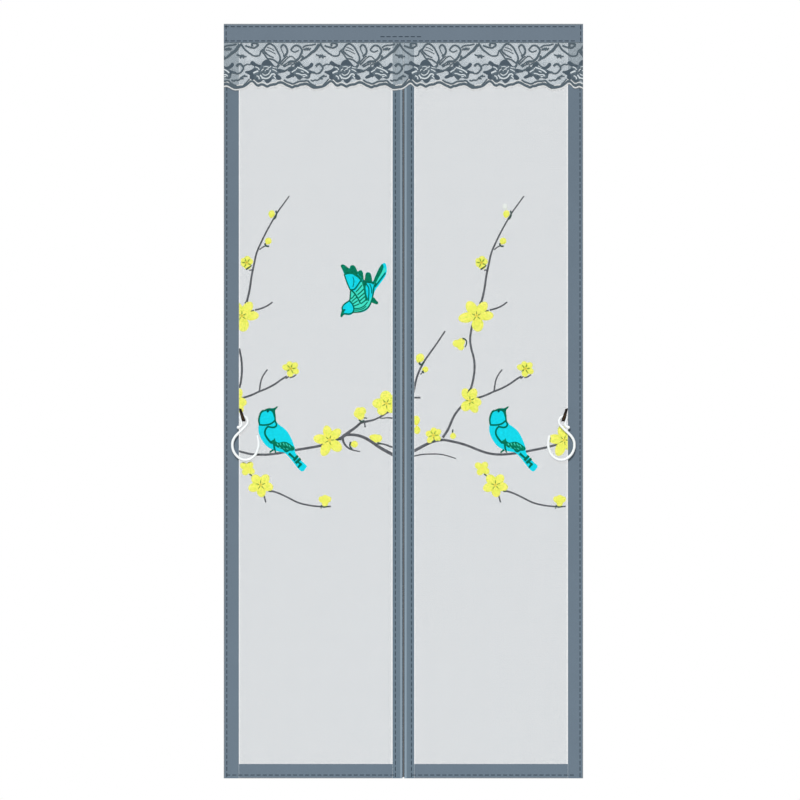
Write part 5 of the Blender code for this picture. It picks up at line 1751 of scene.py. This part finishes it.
INNER_TWIG = (
    Stroke(1.8, ((445, 331.2), (437.4, 342.6), (431.2, 351.4), (425, 360.2), (420.2, 368.8), (416.4, 378.8),
                 (414.4, 388), (413.2, 394)), 2.6),
)
FAINT_TWIG = (
    Stroke(1.7, ((412, 456.6), (420, 454.8), (430, 454), (441, 454.4), (450, 456.6), (456, 458.6)), 1.2),
)
BRANCHES = {
    "left_high_branch": HIGH_BRANCH,
    "left_low_branch": LOW_BRANCH,
    "left_side_twig": SIDE_TWIG,
    "left_wide_branch": LEFT_STROKES,
    "right_high_branch": HIGH_BRANCH,
    "right_low_branch": LOW_BRANCH,
    "right_tall_stem": TALL_STEM + SIDE_TWIG,
    "right_inner_twig": INNER_TWIG,
    "right_faint_twig": FAINT_TWIG,
}


@dataclass
class Branches:
    """The grey branches in satin stitch, cut at each net's edge."""

    height: float = 0.0004

    def build(self) -> None:
        """Models each branch in place of its solid."""
        for name, strokes in BRANCHES.items():
            side = -1 if name.startswith("left") else 1
            shift = -LEAF_OFFSET if side < 0 and strokes is not LEFT_STROKES else 0.0
            run = thread_run(name, strokes, LEAF_GRID, Layer.BRANCH.value, self.height)
            run.location = (shift, 0.0, 0.0)
            settle(run)
            finished(windowed(run, side), f"{name}_thread", BRANCH_THREAD)
            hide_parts(name)


# Hooks


# Middle line of the left hook's wire from the end of its short branch, traced at HOOK_GRID's scale.
HOOK_LINE = (
    (218, 474), (240, 462), (261, 445), (273, 415), (270, 385), (258, 350), (247, 318), (247, 296), (264, 282),
    (292, 279), (325, 288), (352, 310), (374, 345), (378, 390), (355, 435), (310, 485), (260, 535), (200, 590),
    (150, 650), (122, 710), (113, 770), (120, 842), (150, 916), (200, 976), (260, 1018), (325, 1036), (400, 1026),
    (470, 985), (520, 930), (552, 850), (566, 780), (562, 710), (552, 660), (548, 630),
)
# The ribbon tail that hangs from the loop in front of the wire: column, row, depth and width in metres.
TAIL_LINE = (
    (247, 150, -0.0088, 0.0070), (260, 200, -0.0142, 0.0080), (275, 250, -0.0183, 0.0090), (288, 290, -0.0190, 0.0097),
    (302, 335, -0.0192, 0.0100), (313, 371, -0.0190, 0.0096),
)


@dataclass
class Hooks:
    """The white coated wire hooks and the ribbon loops that carry them."""

    wire: float = 0.0075
    depth: float = -0.01325
    drop: float = 0.0049
    ribbon: float = 0.0005
    edge_share: float = 0.25
    # The strip of painted sheen on each tail: its start and end along the tail, its share of the width, and how far it
    # lies in front.
    sheen_span: tuple[float, float, float] = (0.34, 0.84, 0.45)
    patch_lift: float = 0.0003

    def build(self) -> None:
        """Models both hooks, the tails of their loops, a strip of painted sheen on each tail and the loops' finish."""
        for place, side in SIDES:
            drop = self.ball(side, HOOK_LINE[0], self.drop)
            end = self.ball(side, HOOK_LINE[-1], self.wire / 2)
            hook = joined([self.wire_line(side), drop, end])
            finished(hook, f"{place}_wire_hook", HOOK_COAT, 60.0)
            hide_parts(f"{place}_hook")
            dressed(f"{place}_hook_loop", LOOP_RIBBON)
            finished(self.tail(side, (0.0, 1.0, 1.0), 0.0), f"{place}_loop_tail", LOOP_RIBBON)
            # A brown strip of painted sheen along the middle of the tail.
            finished(self.tail(side, self.sheen_span, self.patch_lift), f"{place}_loop_tail_painted_sheen", LOOP_SHEEN_STRIP)

    def wire_line(self, side: int) -> bpy.types.Object:
        """Models the bent wire."""
        curve = cord_curve("wire", self.wire / 2, 4, 4)
        led_through(curve, [self.point(side, place) for place in HOOK_LINE], False)
        return meshed(curve)

    def point(self, side: int, place: Point) -> Vector:
        """Gives the place of a traced point on the left or the right hook."""
        x, z = HOOK_GRID.place(*place)
        return Vector((-side * x, self.depth, z))

    def ball(self, side: int, place: Point, radius: float) -> bpy.types.Object:
        """Models a dipped drop or a round end of the wire."""
        deselect()
        bpy.ops.mesh.primitive_uv_sphere_add(
            segments=20, ring_count=12, radius=radius, location=self.point(side, place)
        )
        return bpy.context.view_layer.objects.active

    def tail(self, side: int, span: tuple[float, float, float], lift: float) -> bpy.types.Object:
        """Models a strip of ribbon along the tail's line.

        Args:
            side: -1 for the left hook and 1 for the right.
            span: Its start and end along the line, and its share of the line's width.
            lift: How far it lies in front of the line.
        """
        start, end, share = span
        deselect()
        bpy.ops.mesh.primitive_grid_add(x_subdivisions=4, y_subdivisions=10, size=1.0)
        obj = bpy.context.view_layer.objects.active
        for vertex in obj.data.vertices:
            along = start + (end - start) * (vertex.co.y + 0.5)
            column, row, depth, width = self.tail_point(along)
            x, z = HOOK_GRID.place(column, row)
            vertex.co = (-side * x + vertex.co.x * width * share, depth - lift, z)
        thick = obj.modifiers.new("thick", "SOLIDIFY")
        thick.thickness = self.ribbon
        thick.offset = 0.0
        bevel = obj.modifiers.new("bevel", "BEVEL")
        bevel.width = self.ribbon * self.edge_share
        apply_modifiers(obj)
        return obj

    def tail_point(self, along: float) -> tuple[float, ...]:
        """Gives the column, row, depth and width at a share of the tail's line."""
        place = along * (len(TAIL_LINE) - 1)
        index = min(int(place), len(TAIL_LINE) - 2)
        first, last = TAIL_LINE[index], TAIL_LINE[index + 1]
        return tuple(a + (b - a) * (place - index) for a, b in zip(first, last))


# Light, floor and camera


@dataclass
class Studio:
    """A pale floor, soft light and the photo's straight front view."""

    floor_height: float = -2.0745
    floor_size: float = 12.0
    view_height: float = 2.2265
    view_middle: tuple[float, float] = (-0.0095, -1.0205)
    distance: float = 4.0
    ambient: float = 0.23
    key: float = 2.76
    key_spread: float = 11.0
    key_tilt: tuple[float, float] = (52.0, -14.0)

    def build(self) -> None:
        """Makes the floor, the world, the lamp and the camera."""
        self.floor()
        self.world()
        sun = bpy.data.lights.new("key", "SUN")
        sun.energy = self.key
        sun.angle = math.radians(self.key_spread)
        lamp = bpy.data.objects.new("key", sun)
        lamp.rotation_euler = (*(math.radians(tilt) for tilt in self.key_tilt), 0.0)
        bpy.context.scene.collection.objects.link(lamp)
        camera = bpy.data.cameras.new("camera")
        camera.type = "ORTHO"
        camera.ortho_scale = self.view_height
        camera.clip_end = 50.0
        obj = bpy.data.objects.new("camera", camera)
        obj.location = (self.view_middle[0], -self.distance, self.view_middle[1])
        obj.rotation_euler = (math.radians(90), 0.0, 0.0)
        bpy.context.scene.collection.objects.link(obj)
        bpy.context.scene.camera = obj
        bpy.context.scene.view_settings.view_transform = "Standard"

    def floor(self) -> None:
        """Makes the pale floor."""
        deselect()
        bpy.ops.mesh.primitive_plane_add(size=self.floor_size, location=(0.0, 0.0, self.floor_height))
        obj = bpy.context.view_layer.objects.active
        settle(obj)
        obj.name = "floor"
        obj.data.materials.append(Moulded("floor_paint", (0.86, 0.86, 0.86), 0.9, "net_grey", grain=20.0).build())

    def world(self) -> None:
        """Makes a world that lights the object evenly and shows white behind it."""
        world = bpy.data.worlds.new("studio")
        world.use_nodes = True
        bpy.context.scene.world = world
        graph = Graph(world.node_tree)
        background = world.node_tree.nodes["Background"]
        path = graph.node("ShaderNodeLightPath")
        seen = graph.math("MAXIMUM", path.outputs["Is Camera Ray"], path.outputs["Is Transmission Ray"])
        seen = graph.math("MAXIMUM", seen, path.outputs["Is Glossy Ray"])
        strength = graph.math("MULTIPLY_ADD", seen, 1.0 - self.ambient, self.ambient)
        graph.feed(background.inputs["Strength"], strength)
        background.inputs["Color"].default_value = (1.0, 1.0, 1.0, 1.0)


def main() -> None:
    """Builds the scene in order."""
    logging.basicConfig(level=logging.INFO, format="%(message)s")
    Studio().build()
    RibbonWork().dress()
    NetLeaves().build()
    LaceValance().build()
    Stitching().build()
    Branches().build()
    Sprays().build()
    Birds().build()
    Hooks().build()


if __name__ == "__main__":
    main()
